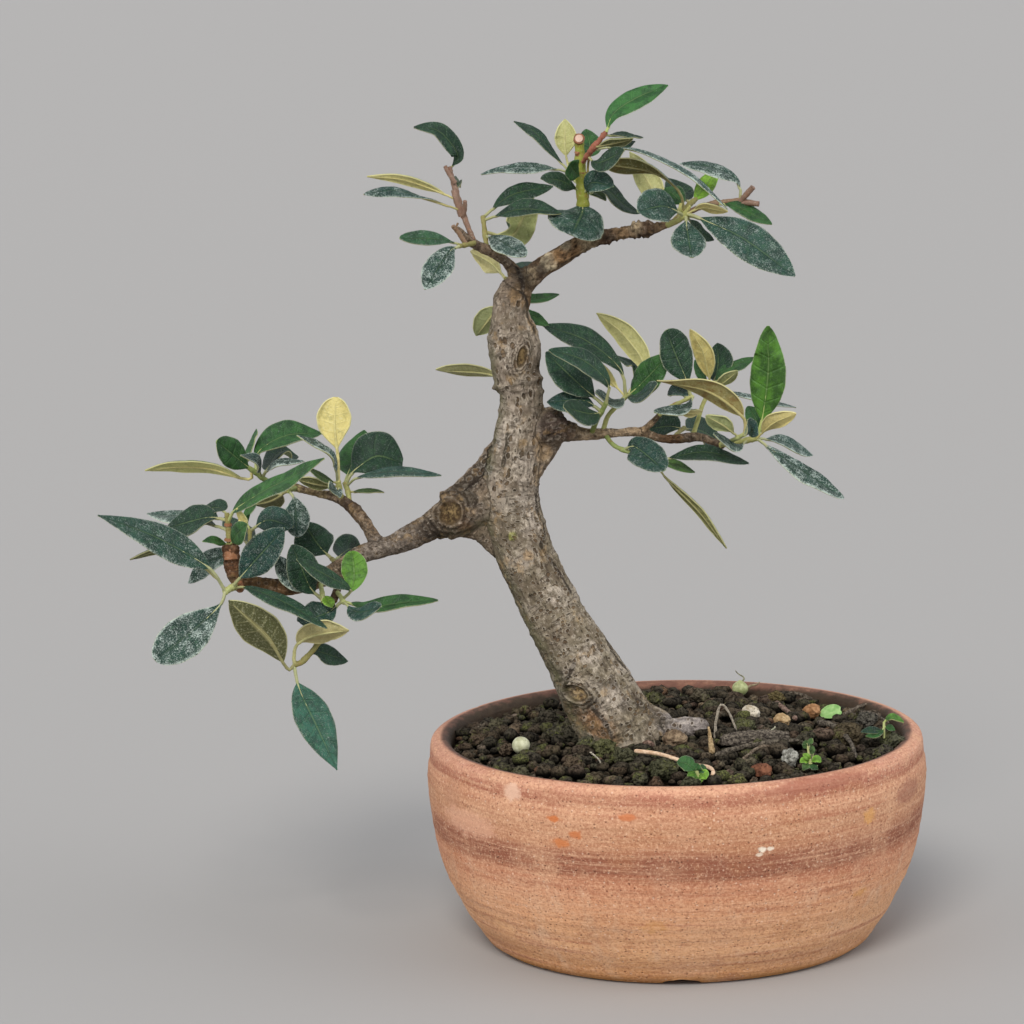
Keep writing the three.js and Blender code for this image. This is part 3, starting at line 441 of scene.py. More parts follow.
def potOutline():
    # radius and height of the bowl's wall in mm, from the drain hole out, up, over the lip and back in
    lip = 3.5
    side = pot["height"] - lip
    outside = [(70.4, 0.03), (73.7, 0.1), (77.2, 0.17), (80, 0.25), (83.4, 0.345), (86, 0.45),
               (87.6, 0.55), (88.7, 0.65), (89.6, 0.75), (90, 0.85), (89.75, 0.905), (89.2, 0.935),
               (89.05, 0.965), (88.9, 1)]
    inside = [(pot["radius"] - pot["wall"], 0.85), (81.6, 0.72), (80.6, 0.6), (76.6, 0.4), (70, 0.22)]
    wallPoints = smoothOutline([(radius, share * side) for radius, share in outside], 70)
    crest = pot["crest"]
    lipPoints = smoothOutline([(88.9, side), (88.4, 73.4), (crest + 2, 74.5), (crest, 75),
                               (crest - 2.2, 74.5), (crest - 3.3, 73.2), (crest - 3.8, side)], 18)
    foot = pot["foot"]
    low = [(pot["drain"], 3), (pot["drain"] + 0.5, 2.6), (56.5, 2.8), (foot - pot["footWidth"], 2.2),
           (foot - pot["footWidth"] + 0.9, 0.3), (foot - pot["footWidth"] + 1.8, 0), (foot - 1.4, 0),
           (foot - 0.3, 0.4), (foot + 0.1, 1.1)]
    innerWall = smoothOutline([(r, s * side) for r, s in inside] + [(62, pot["floorTop"])], 14)
    end = [(pot["drain"] + 0.8, pot["floorTop"]), (pot["drain"], pot["floorTop"] - 0.7), (pot["drain"], 3)]
    return low + wallPoints + lipPoints[1:] + innerWall + end


def smoothOutline(places, count):
    points = [Vector((r, h, 0)) for r, h in places]
    return [(point.x, point.y) for point in evenLine(points, count)[0]]


def throwingRings(height):
    # the potter's finger marks: uneven ridges round the wall
    rise = math.sin(height * 1.45 + 2.1 * math.sin(height * 0.21)) + 0.6 * math.sin(height * 2.9 + 1.3)
    return pot["ringHeight"] * rise * (0.5 + 0.5 * math.sin(height * 0.33 + 0.6))


def makePot():
    shell = spun("pot_shell", potOutline(), pot["steps"])
    points = readPoints(shell)
    rng = random.Random(pot["seed"])
    chips = [(rng.uniform(0, 2 * math.pi), rng.choice([(88.9, 73.9), (87, 74.9), (68.2, 0.9), (88.4, 66.6)]),
              rng.uniform(0.5, 1.3)) for _ in range(pot["chips"])]
    for i, (x, y, z) in enumerate(points):
        radius, height = math.hypot(x, y) / mm, z / mm
        turn = math.atan2(y, x)
        away = 0
        if radius > 60 and height > 1.5:
            outer = radius > 75 + 10 * min(height / 60, 1) or height < 20
            swell = noise.noise(Vector((math.cos(turn) * 1.3, math.sin(turn) * 1.3, height / 45)))
            away += pot["wobble"] * swell
            if outer and height < pot["ringsBelow"]:
                uneven = noise.noise(Vector((math.cos(turn) * 3, math.sin(turn) * 3, height / 9)))
                away += throwingRings(height) * (1 + 0.5 * uneven)
        for chipTurn, (chipRadius, chipHeight), size in chips:
            gap = abs((turn - chipTurn + math.pi) % (2 * math.pi) - math.pi) * radius
            far = math.sqrt(gap ** 2 + (radius - chipRadius) ** 2 + (height - chipHeight) ** 2) / (size * 1.6)
            if far < 1:
                away -= pot["chipDepth"] * size * (1 - far ** 2)
        points[i, 0] += math.cos(turn) * away * mm
        points[i, 1] += math.sin(turn) * away * mm
    writePoints(shell, points)
    cutArches(shell)
    shell.data.transform(Matrix.Translation(potAxis))
    return smooth(named(shell, "bowl"), 38)


def cutArches(shell):
    width, height, foot = pot["archWidth"], pot["archHeight"], pot["foot"]
    radius = (width ** 2 / 4 + height ** 2) / (2 * height)
    for i in range(pot["archCount"]):
        bpy.ops.mesh.primitive_cylinder_add(radius=radius * mm, depth=26 * mm, vertices=160,
                                            location=((foot - 4.5) * mm, 0, (height - radius) * mm),
                                            rotation=(0, math.pi / 2, 0))
        cutter = bpy.context.object
        pick(cutter)
        bpy.ops.object.transform_apply(location=True, rotation=True)
        turn = math.radians(pot["archTurn"] + 360 / pot["archCount"] * i)
        cutter.data.transform(Matrix.Rotation(turn, 4, "Z"))
        modified(shell, "BOOLEAN", operation="DIFFERENCE", object=cutter, solver="EXACT")
        bpy.data.objects.remove(cutter)


def terracotta():
    clay = Finish("terracotta", Roughness=0.85, Specular_IOR_Level=0.2)
    spot = clay.place(potAxis)
    x, y, height = clay.parts(spot)
    radius = (x * x + y * y) ** 0.5
    ringed = clay.stretched(spot, (0.03, 0.03, 1))
    drift = clay.noise(clay.stretched(spot, (0.02, 0.02, 0.16)), 1, 3)
    level = height + (drift - 0.5) * 6
    # broad bands up the wall, from the foot to the lip
    bands = clay.node("ValToRGB", {"stops": [
        (0.0, (0.46, 0.21, 0.07)), (0.05, (0.57, 0.28, 0.12)), (0.18, (0.70, 0.39, 0.20)),
        (0.36, (0.66, 0.34, 0.18)), (0.50, (0.54, 0.245, 0.135)), (0.565, (0.43, 0.18, 0.10)),
        (0.595, (0.21, 0.070, 0.040)), (0.66, (0.25, 0.086, 0.050)), (0.71, (0.45, 0.215, 0.118)),
        (0.80, (0.48, 0.25, 0.142)), (0.895, (0.49, 0.24, 0.143)), (0.915, (0.34, 0.125, 0.075)),
        (0.955, (0.41, 0.165, 0.105)), (0.975, (0.56, 0.28, 0.18)), (1.0, (0.50, 0.245, 0.165))]},
        {0: level / 75})
    fine = clay.noise(ringed, 1.3, 5, 0.65)
    colour = clay.wash(bands, (0.64, 0.37, 0.23), fine, 0.45, 0.75, 0.7)
    colour = clay.wash(colour, (0.35, 0.13, 0.072), clay.noise(ringed, 2.4, 4, 0.6), 0.52, 0.70, 0.7)
    # pale salts in upright runs, low on the wall, and warm clouds
    runs = clay.noise(clay.stretched(spot, (1, 1, 0.35)), 9, 4, 0.6)
    salty = clay.step(runs, 0.52, 0.70) * clay.step(height, 48, 30)
    colour = clay.mix(salty * 0.55, colour, (0.66, 0.44, 0.29))
    cloud = clay.noise(spot, 22, 4, 0.6)
    colour = clay.wash(colour, (0.62, 0.355, 0.21), cloud, 0.48, 0.70, 0.5)
    colour = clay.wash(colour, (0.42, 0.19, 0.09), cloud, 0.47, 0.34, 0.35)
    speck = clay.cells(spot, 1.5)
    picked = clay.cells(spot, 1.5, out="Color")
    red, green, _ = clay.parts(picked)
    dark = clay.step(speck, 0.26, 0.12) * clay.step(red, 0.45, 0.6)
    pale = clay.step(speck, 0.3, 0.15) * clay.step(red, 0.28, 0.12)
    grain = clay.noise(spot, 1.0, 4, 0.85)
    coarse = clay.noise(clay.stretched(spot, (0.6, 0.6, 1)), 2.2, 5, 0.75)
    colour = clay.wash(colour, (0.76, 0.48, 0.31), grain, 0.50, 0.66, 0.6)
    colour = clay.wash(colour, (0.27, 0.10, 0.055), grain, 0.50, 0.36, 0.6)
    colour = clay.wash(colour, (0.33, 0.125, 0.07), coarse, 0.52, 0.64, 0.3)
    colour = clay.mix(dark * 0.6, colour, (0.12, 0.045, 0.025))
    colour = clay.mix(pale * 0.5, colour, (0.80, 0.58, 0.44))
    # darker inside wall and lip edge, partly moist clay and partly painted shade within the bowl, and ochre
    # where the foot was scraped
    inside = clay.step(radius, 85.6, 83.8) * clay.step(height, 50, 60)
    darkening = clay.step(clay.noise(spot, 6, 4, 0.65), 0.3, 0.6)
    moistAndShadeTone = clay.mix(coarse, (0.085, 0.036, 0.026), (0.20, 0.095, 0.068))
    colour = clay.mix(inside * (darkening * 0.25 + 0.7), colour, moistAndShadeTone)
    # near the soil the inside wall turns nearly black, higher up towards both ends: partly painted shade,
    # partly moist clay
    ends = clay.step(abs(x), 22, 58) * 2.0
    wetAndShade = inside * clay.step(height + (clay.noise(spot, 5, 5, 0.75) - 0.5) * 5 - ends, 74.0, 71.8)
    colour = clay.mix(wetAndShade * 0.92, colour, clay.mix(coarse, (0.010, 0.008, 0.006), (0.068, 0.050, 0.030)))
    under = clay.step(height, 5, 0.5)
    colour = clay.mix(under * clay.step(cloud, 0.35, 0.6) * 0.7, colour, (0.50, 0.24, 0.07))
    for (px, py), size, tint, strength in potPatches:
        centre = wallPlace(px, py)
        place = clay.place(centre, size)
        far = clay.node("VectorMath", {"operation": "LENGTH"}, {0: place}, 1)
        ragged = far + (clay.noise(spot, 2.4, 4, 0.6) - 0.5) * 1.1
        colour = clay.mix(clay.step(ragged, 1.0, 0.55) * strength, colour, tint)
    clay.set("Roughness", 0.78 + grain * 0.2 - clay.step(height, 66, 73) * 0.22)
    lines = clay.noise(clay.stretched(spot, (0.05, 0.05, 1)), 0.9, 4, 0.65)
    pits = clay.step(speck, 0.3, 0.1) * clay.step(green, 0.5, 0.7)
    relief = lines * 0.5 + grain * 0.5 + coarse * 0.3 - pits * 0.6
    return clay.done(colour, relief, 0.45, 0.9)


# where marks show on the wall: place in the picture, size across, deep and high in mm, colour, strength
potPatches = [
    ((555, 818), (3.4, 4, 1.5), (0.50, 0.15, 0.045), 0.9),
    ((562, 842), (4.4, 4, 2.2), (0.52, 0.17, 0.055), 0.85),
    ((577, 834), (3.2, 4, 2.0), (0.50, 0.16, 0.055), 0.85),
    ((628, 817), (3.8, 4, 1.6), (0.50, 0.16, 0.06), 0.8),
    ((513, 792), (5, 4, 4.0), (0.72, 0.47, 0.34), 0.75),
    ((762, 849), (2.3, 3, 1.5), (0.82, 0.72, 0.58), 0.95),
    ((769, 848), (1.8, 3, 1.1), (0.80, 0.68, 0.54), 0.9),
    ((759, 854), (2.0, 3, 0.8), (0.78, 0.64, 0.50), 0.8),
    ((866, 815), (4.5, 4, 4.0), (0.60, 0.30, 0.09), 0.65),
    ((870, 895), (7, 5, 3.0), (0.55, 0.27, 0.08), 0.6),
    ((652, 935), (11, 8, 5.0), (0.58, 0.29, 0.10), 0.55),
    ((850, 930), (9, 8, 7.0), (0.62, 0.42, 0.29), 0.5),
    ((455, 795), (7, 8, 7.0), (0.40, 0.20, 0.12), 0.45),
    ((820, 784), (34, 22, 3.0), (0.30, 0.10, 0.065), 0.65),
    ((905, 790), (9, 14, 5.0), (0.26, 0.10, 0.07), 0.5),
    ((480, 935), (16, 12, 8.0), (0.70, 0.40, 0.20), 0.5),
    ((470, 822), (22, 20, 6.0), (0.66, 0.37, 0.25), 0.55),
]


def wallPlace(px, py):
    # where the sight line first meets the bowl's widest round
    ray = sight(px, py)
    reach = (pot["radius"] - 1.5) * mm
    offset = eye - potAxis
    a = ray.x ** 2 + ray.y ** 2
    b = 2 * (offset.x * ray.x + offset.y * ray.y)
    c = offset.x ** 2 + offset.y ** 2 - reach ** 2
    far = (-b - math.sqrt(max(b * b - 4 * a * c, 0))) / (2 * a)
    return eye + ray * far


bowl = makePot()
finished(bowl, terracotta(), "terracotta", "pot")
print("bowl made")


# Trunk and old branches

# centre line of each limb in places of the picture with a depth, radii in mm, and its bark: how brown,
# how striped and how mossy
limbs = {
    "trunk": ([(636, 790, -13), (622, 742, -10), (597, 692, -8), (575, 651, -7), (547, 601, -5),
               (524, 551, -4), (509, 500, -3), (512, 472, -2), (518, 440, -2), (522, 397, -1),
               (517, 371, 0), (515, 350, 0), (512, 330, 0), (510, 312, 0), (512, 297, 0)],
              [17, 15.5, 13.4, 11.7, 10.7, 10.3, 10.8, 10, 8.8, 7.6, 8.8, 9.5, 8.3, 6.8, 7], (0.1, 0, 0.5)),
    "crownBase": ([(511, 302, 0), (517, 288, 0), (522, 277, 0)], [6.8, 5.8, 4.4], (0.5, 0.1, 0)),
    "crownRight": ([(518, 289, 0), (530, 277, 0), (543, 266, 1), (560, 257, 2), (576, 247, 3), (590, 240, 4),
                    (622, 233, 5), (640, 230, 5), (658, 227, 4), (676, 221, 2)],
                   [4.6, 4.2, 3.6, 3.4, 3.2, 2.8, 2.2, 2.2, 1.6, 1.2], (0.85, 0.3, 0)),
    "crownLeft": ([(520, 280, 0), (508, 264, -2), (494, 253, -4), (479, 246, -6), (468, 239, -8),
                   (456, 228, -9)],
                  [3.2, 2.1, 1.9, 1.7, 1.6, 1.3], (0.6, 0.6, 0)),
    "leftRidge": ([(499, 438, -2), (492, 449, -2), (482, 468, -3), (466, 488, -5), (452, 500, -6)],
                  [1.2, 2.0, 2.9, 4.0, 4.4], (0.35, 0, 0)),
    "leftKnob": ([(484, 500, -3), (462, 512, -5), (445, 516, -6)], [9, 8.6, 8.7], (0.6, 0, 0.3)),
    "leftHeel": ([(460, 521, -5), (484, 529, -4), (504, 550, -4)], [5.2, 5.2, 4], (0.35, 0.2, 0.4)),
    "left": ([(452, 516, -6), (434, 525, -8), (413, 536, -10), (390, 545, -11), (363, 554, -13),
              (345, 565, -14), (325, 577, -15), (304, 584, -16), (284, 587, -17), (259, 584, -18),
              (241, 583, -18)],
             [6.8, 5.4, 4.3, 3.6, 3.3, 3.4, 3.2, 3.2, 3.1, 2.5, 2.3], (0.5, 0.9, 0)),
    "leftEnd": ([(243, 585, -18), (234, 574, -18), (230, 545, -18)], [2.4, 2.8, 2.8], (0.95, 1, 0)),
    "leftUpper": ([(380, 548, -12), (372, 535, -9), (363, 520, -4), (350, 505, 4), (335, 497, 10),
                   (315, 493, 15), (297, 488, 19), (282, 485, 22)],
                  [2.9, 2.5, 2.3, 2.1, 1.9, 1.6, 1.5, 1.3], (0.7, 0.5, 0)),
    "leftLower": ([(348, 564, -14), (340, 582, -17), (333, 602, -20)], [2, 1.7, 1.5], (0.8, 0.5, 0)),
    "rightKnob": ([(530, 430, -2), (549, 427, -1), (562, 427, 0)], [6.2, 7.2, 6.0], (0.45, 0.1, 0)),
    "rightHeel": ([(528, 486, -3), (538, 462, -2), (548, 440, 0)], [2.6, 3.8, 4.8], (0.6, 0, 0)),
    "right": ([(552, 428, 0), (572, 432, 2), (590, 434, 4), (616, 433, 6), (640, 432, 9), (659, 438, 11),
               (677, 439, 12), (700, 437, 12), (725, 446, 10)],
              [4.4, 3.4, 2.0, 1.7, 1.75, 1.8, 1.8, 1.6, 1.3], (0.6, 0.5, 0)),
    "rightUpper": ([(641, 432, 9), (652, 422, 7), (661, 413, 5)], [1.4, 1.3, 1.1], (0.7, 0.4, 0)),
    "rootRight": ([(628, 700, -6), (645, 711, -8), (660, 717, -9), (667, 721, -9)],
                  [6, 4.2, 3.0, 2.0], (0.3, 0, 0)),
    "surfaceRoot": ([(640, 728, -8), (662, 728, -11), (684, 727, -11), (702, 728, -11), (707, 729, -11)],
                    [3.4, 3.3, 3.5, 3.1, 2.0], (0.1, 0.1, 0)),
    "rootLeft": ([(600, 735, -6), (575, 735, -2), (553, 755, 0)], [7, 4, 1.6], (0.5, 0, 0.6)),
    "rootFront": ([(625, 760, -14), (628, 790, -26), (620, 815, -36)], [9, 5, 2], (0.5, 0, 0.6)),
    "rootBack": ([(622, 750, -4), (640, 760, 12), (655, 775, 28)], [9, 5, 2], (0.5, 0, 0.6)),
}

# old cuts: place in the picture, half width and half height of the scar in mm, turn in degrees, depth of
# the hollow and height of the callus round it in mm, and how bare and brown the heart is
scars = [
    ((449, 513), 4.0, 4.2, 0, 0.8, 0.9, 0.9),
    ((522, 357), 1.8, 3.9, -14, 1.0, 0.6, 1.0),
    ((576, 693), 4.6, 2.9, -14, 0.4, 1.6, 0.6),
]
# wrinkles across the trunk: place, turn in degrees, height and half width in mm
folds = [
    ((519, 382), 12, 1.1, 1.2), ((521, 391), -4, 0.7, 0.9), ((516, 334), 10, 0.6, 0.9),
    ((512, 322), -8, 0.5, 0.8), ((517, 410), 4, 0.5, 0.8), ((513, 455), -10, 0.6, 1.0),
    ((508, 478), -14, 0.6, 0.9), ((522, 530), 20, 0.45, 0.9), ((533, 566), 24, 0.45, 0.8),
    ((556, 622), 26, 0.4, 0.8), ((583, 668), 28, 0.45, 0.8),
]
# coloured and crusty places on the bark, some of them painted highlights and painted shade: place, radius in
# mm, colour, strength, and how lumpy in mm
dark = (0.040, 0.031, 0.025)
tan = (0.40, 0.28, 0.165)
# pale serves mostly the painted highlights down the middle of the trunk
pale = (0.48, 0.41, 0.335)
russet = (0.17, 0.090, 0.045)
ash = (0.36, 0.34, 0.31)
honey = (0.52, 0.40, 0.25)
bleached = (0.56, 0.44, 0.28)
fawn = (0.48, 0.35, 0.22)
chalky = (0.33, 0.29, 0.27)
dun = (0.30, 0.25, 0.18)
# greenish grey for the trunk's left side: partly moss, partly painted shade
mossAndShadeGrey = (0.12, 0.11, 0.060)
stains = [
    ((450, 496), 3.4, dark, 1.0, 1.2), ((461, 489), 3.2, dark, 1.0, 1.2), ((471, 481), 3.0, dark, 1.0, 1.1),
    ((479, 470), 2.8, dark, 1.0, 1.1), ((485, 460), 2.4, dark, 1.0, 1.0), ((491, 449), 2.0, dark, 0.9, 0.9),
    ((497, 444), 2.6, ash, 0.7, 0.4), ((489, 470), 2.6, ash, 0.7, 0.3),
    ((449, 513), 7.5, (0.115, 0.082, 0.055), 1.0, 0), ((434, 505), 3.0, dark, 0.7, 0.5),
    ((440, 535), 4.5, dark, 0.7, 0.6), ((467, 528), 3.4, russet, 0.8, 0.5),
    ((472, 503), 2.6, dark, 0.7, 0.5), ((470, 497), 3.0, dark, 0.8, 0.5),
    ((554, 424), 6.0, (0.068, 0.047, 0.040), 1.0, 1.5), ((569, 428), 4.0, (0.095, 0.062, 0.048), 0.9, 1.0),
    ((541, 452), 4.4, tan, 0.8, 0.4), ((537, 478), 4.0, tan, 0.6, 0.2), ((548, 440), 3.0, dark, 0.5, 0.6),
    ((596, 433), 8.0, fawn, 1.0, 0), ((620, 432), 8.0, fawn, 1.0, 0),
    ((644, 434), 7.0, (0.44, 0.31, 0.19), 0.9, 0), ((670, 439), 7.0, russet, 0.7, 0.2),
    ((534, 300), 4.0, russet, 0.8, 0.3), ((531, 322), 3.5, tan, 0.6, 0.2),
    ((533, 275), 3.2, honey, 0.9, 1.4), ((549, 262), 3.4, (0.56, 0.47, 0.32), 0.9, 1.8),
    ((560, 257), 3.0, (0.34, 0.19, 0.085), 0.8, 1.4), ((586, 242), 4.4, honey, 0.95, 1.8),
    ((573, 249), 3.4, (0.30, 0.17, 0.08), 0.8, 1.4), ((606, 237), 4.0, (0.13, 0.075, 0.045), 0.8, 1.2),
    ((622, 234), 4.0, (0.34, 0.22, 0.12), 0.8, 1.6), ((643, 230), 5.0, (0.12, 0.075, 0.048), 0.9, 2.2),
    ((566, 246), 2.0, (0.60, 0.50, 0.34), 0.9, 1.0), ((598, 233), 2.0, bleached, 0.9, 1.0),
    ((634, 222), 2.2, bleached, 0.9, 1.2), ((540, 278), 2.4, (0.10, 0.06, 0.04), 0.8, 0.8),
    ((612, 242), 2.6, (0.05, 0.034, 0.026), 0.8, 0.8), ((524, 284), 4.0, dark, 0.5, 0.3),
    ((541, 270), 2.4, dark, 0.7, 0.4), ((556, 690), 4.4, russet, 0.9, 0.6),
    ((572, 712), 5.0, russet, 1.0, 0.9), ((592, 722), 5.0, (0.24, 0.13, 0.065), 0.9, 0.9),
    ((592, 703), 3.0, dark, 0.7, 0.5), ((610, 735), 5.0, (0.26, 0.15, 0.075), 0.8, 0.8),
    ((560, 676), 3.0, dark, 0.7, 0.6), ((636, 733), 6.0, (0.34, 0.29, 0.22), 0.5, 1.2),
    ((612, 684), 3.0, dark, 0.6, 0.4), ((627, 706), 3.0, dark, 0.6, 0.5), ((615, 700), 6.0, pale, 0.5, 0.3),
    ((678, 727), 8.0, chalky, 1.0, 0.25), ((700, 728), 6.0, chalky, 1.0, 0.25),
    ((660, 724), 3.0, dark, 0.8, 0.8), ((651, 713), 4.5, (0.20, 0.16, 0.125), 0.9, 1.6),
    ((640, 703), 3.2, dark, 0.7, 0.9), ((634, 720), 5.0, (0.22, 0.18, 0.12), 0.8, 1.2),
    ((622, 728), 4.0, dun, 0.6, 1.0), ((600, 676), 4.0, dun, 0.5, 0.8),
    # the greenish grey stains down the trunk's left side below are partly moss and partly painted shade
    ((519, 297), 5.0, (0.25, 0.165, 0.090), 0.7, 0.3), ((497, 566), 6.0, mossAndShadeGrey, 0.7, 0.2),
    ((509, 604), 6.0, (0.11, 0.105, 0.055), 0.7, 0.2), ((524, 645), 6.0, mossAndShadeGrey, 0.7, 0.2),
    # the pale stains without lumps from (511, 428) on are painted highlights down the middle of the trunk
    ((541, 676), 5.0, (0.12, 0.10, 0.060), 0.7, 0.4), ((511, 428), 8.0, pale, 0.55, 0),
    ((521, 470), 7.0, pale, 0.5, 0), ((531, 520), 8.0, pale, 0.5, 0), ((558, 598), 7.0, pale, 0.5, 0),
    ((590, 652), 7.0, pale, 0.55, 0), ((505, 350), 6.0, pale, 0.5, 0), ((528, 556), 3.0, tan, 0.6, 0.1),
    ((512, 537), 2.0, (0.30, 0.30, 0.08), 0.8, 0.1), ((400, 540), 9.0, (0.20, 0.165, 0.135), 0.6, 0.2),
    ((368, 550), 8.0, (0.22, 0.18, 0.145), 0.6, 0.2), ((428, 528), 4.0, dark, 0.8, 0.6),
    ((264, 583), 9.0, (0.25, 0.14, 0.065), 0.9, 0.3), ((232, 560), 6.5, (0.18, 0.085, 0.045), 0.95, 0.9),
    ((300, 584), 7.0, (0.20, 0.11, 0.055), 0.7, 0.1), ((350, 505), 5.0, (0.10, 0.065, 0.045), 0.7, 0.3),
    ((316, 494), 6.0, (0.34, 0.25, 0.13), 0.8, 0.1), ((290, 488), 5.0, (0.38, 0.33, 0.15), 0.8, 0.1),
]
wood = {"voxel": 0.58, "smoothing": 7, "sides": 20, "spans": 6, "crease": 0.28, "grain": 0.26, "knobs": 0.30,
        "lump": 0.8, "foldReach": 15, "seamWidth": 0.75}


def limbPoints(places, count):
    return smoothLine([atDepth(*place) for place in places], count)


def limbRadii(radii, count):
    return [max(size.x, 0.4) * mm for size in smoothLine([Vector((r, 0, 0)) for r in radii], count)]


def makeWood():
    pieces = []
    for name, (places, radii, _) in limbs.items():
        count = wood["spans"] * len(places)
        pieces.append(tube(name, limbPoints(places, count), limbRadii(radii, count), wood["sides"]))
    trunk = joined(pieces, "trunk_wood")
    modified(trunk, "REMESH", mode="VOXEL", voxel_size=wood["voxel"] * mm, adaptivity=0)
    modified(trunk, "SMOOTH", factor=0.5, iterations=wood["smoothing"])
    return trunk


def limbFrames():
    # places along every limb with the limb's own directions, for bark that follows the growth
    rows = []
    for places, radii, bark in limbs.values():
        count = 8 * len(places)
        points = limbPoints(places, count)
        sizes = limbRadii(radii, count)
        run = 0
        side = None
        for i, point in enumerate(points):
            along = (points[min(i + 1, count - 1)] - points[max(i - 1, 0)]).normalized()
            side = side or along.cross(Vector((0.3, 0.9, 0.1))).normalized()
            side = (side - along * side.dot(along)).normalized()
            run += (point - points[i - 1]).length if i else 0
            rows.append((point, along, side, along.cross(side), sizes[i], run, bark))
    return rows


def barkSpace(points):
    # for each point: distance across and along its limb, and the limb's bark, blended between near limbs
    rows = limbFrames()
    centres = np.array([row[0] for row in rows])
    axes = [np.array([row[k] for row in rows]) for k in (2, 3, 1)]
    sizes = np.array([row[4] for row in rows])
    runs = np.array([row[5] for row in rows])
    barks = np.array([row[6] for row in rows])
    space = np.zeros((len(points), 3))
    bark = np.zeros((len(points), 3))
    batch = 4000
    for start in range(0, len(points), batch):
        part = slice(start, start + batch)
        far = np.linalg.norm(points[part, None] - centres, axis=2) / sizes
        nearest = far.argmin(axis=1)
        offset = points[part] - centres[nearest]
        space[part] = np.column_stack([(offset * axis[nearest]).sum(1) for axis in axes])
        space[part, 2] += runs[nearest]
        weight = np.exp(-((far - far.min(axis=1, keepdims=True)) * 3) ** 2)
        bark[part] = (weight @ barks) / weight.sum(1, keepdims=True)
    return space, bark


def scarFrames(tree):
    # where each scar lies on the wood, with the directions over its face
    frames = []
    for place, halfWide, halfHigh, turn, hollow, callus, bare in scars:
        hit, normal = seenOn(tree, place)
        wide = (across - normal * across.dot(normal)).normalized()
        high = normal.cross(wide)
        cosTurn, sinTurn = turned(turn)
        frames.append((hit, normal, wide * cosTurn + high * sinTurn, high * cosTurn - wide * sinTurn,
                       halfWide * mm, halfHigh * mm, hollow * mm, callus * mm, bare))
    return frames


def seenOn(tree, place):
    # the wood seen at that place in the picture, or else the nearest to it
    hit, normal, _, _ = tree.ray_cast(eye, sight(*place).normalized())
    if hit is None:
        hit, normal, _, _ = tree.find_nearest(atDepth(*place, 0))
    return hit, normal


# long dark seams in the bark, through places of the picture
seams = [
    [(536, 494), (537, 506), (541, 520), (544, 534), (541, 545)],
    [(541, 545), (549, 558), (557, 568), (564, 580), (570, 592)], [(516, 268), (521, 277), (523, 288)],
    [(508, 434), (506, 450), (503, 466)], [(574, 664), (569, 676), (566, 690)],
    [(590, 700), (596, 712), (606, 724), (612, 738)], [(521, 292), (527, 303), (528, 318), (534, 332)],
    [(606, 640), (616, 658), (630, 676)],
]


def seamStains():
    spots = []
    for places in seams:
        line = [Vector((*place, 0)) for place in places]
        spots += [((x, y), wood["seamWidth"], dark, 0.95, 0) for x, y, _ in smoothLine(line, 9 * len(places))]
    return spots


def stainBark(trunk, tree, points):
    # folds and crusts on the bark, and the colour of each stained place
    height = np.zeros(len(points))
    colour = np.zeros((len(points), 3))
    cover = np.zeros(len(points))
    for place, turn, high, wide in folds:
        hit, _ = seenOn(tree, place)
        cosTurn, sinTurn = turned(turn)
        offset = points - np.array(hit)
        rise = offset @ np.array(upward * cosTurn - across * sinTurn) / mm
        near = np.linalg.norm(offset, axis=1) < wood["foldReach"] * mm
        for i in np.flatnonzero(near & (np.abs(rise) < 3 * wide)):
            sway = 1.3 * noise.noise(Vector(points[i]) / (4 * mm))
            fade = math.exp(-((rise[i] + sway) / wide) ** 2)
            height[i] += high * (0.75 + noise.noise(Vector(points[i]) / (3 * mm))) * fade
    for place, radius, tone, strength, lumps in stains + seamStains():
        hit, _ = seenOn(tree, place)
        far = np.linalg.norm(points - np.array(hit), axis=1) / (radius * mm)
        for i in np.flatnonzero(far < 1.7):
            weight = strength * math.exp(-1.1 * far[i] ** 3)
            colour[i] = colour[i] * (1 - weight) + np.array(tone) * weight
            cover[i] = 1 - (1 - cover[i]) * (1 - weight)
            if lumps:
                spot = Vector(points[i]) / mm
                crust = 0.75 - noise.voronoi(spot / 1.9)[0][0] + 0.5 * noise.noise(spot / 0.9)
                height[i] += lumps * crust * min(weight * 1.5, 1)
    colour = np.where(cover[:, None] > 0, colour / np.maximum(cover, 1e-6)[:, None], 0.3)
    setColours(trunk, "barkStain", np.column_stack([colour, cover]))
    return height


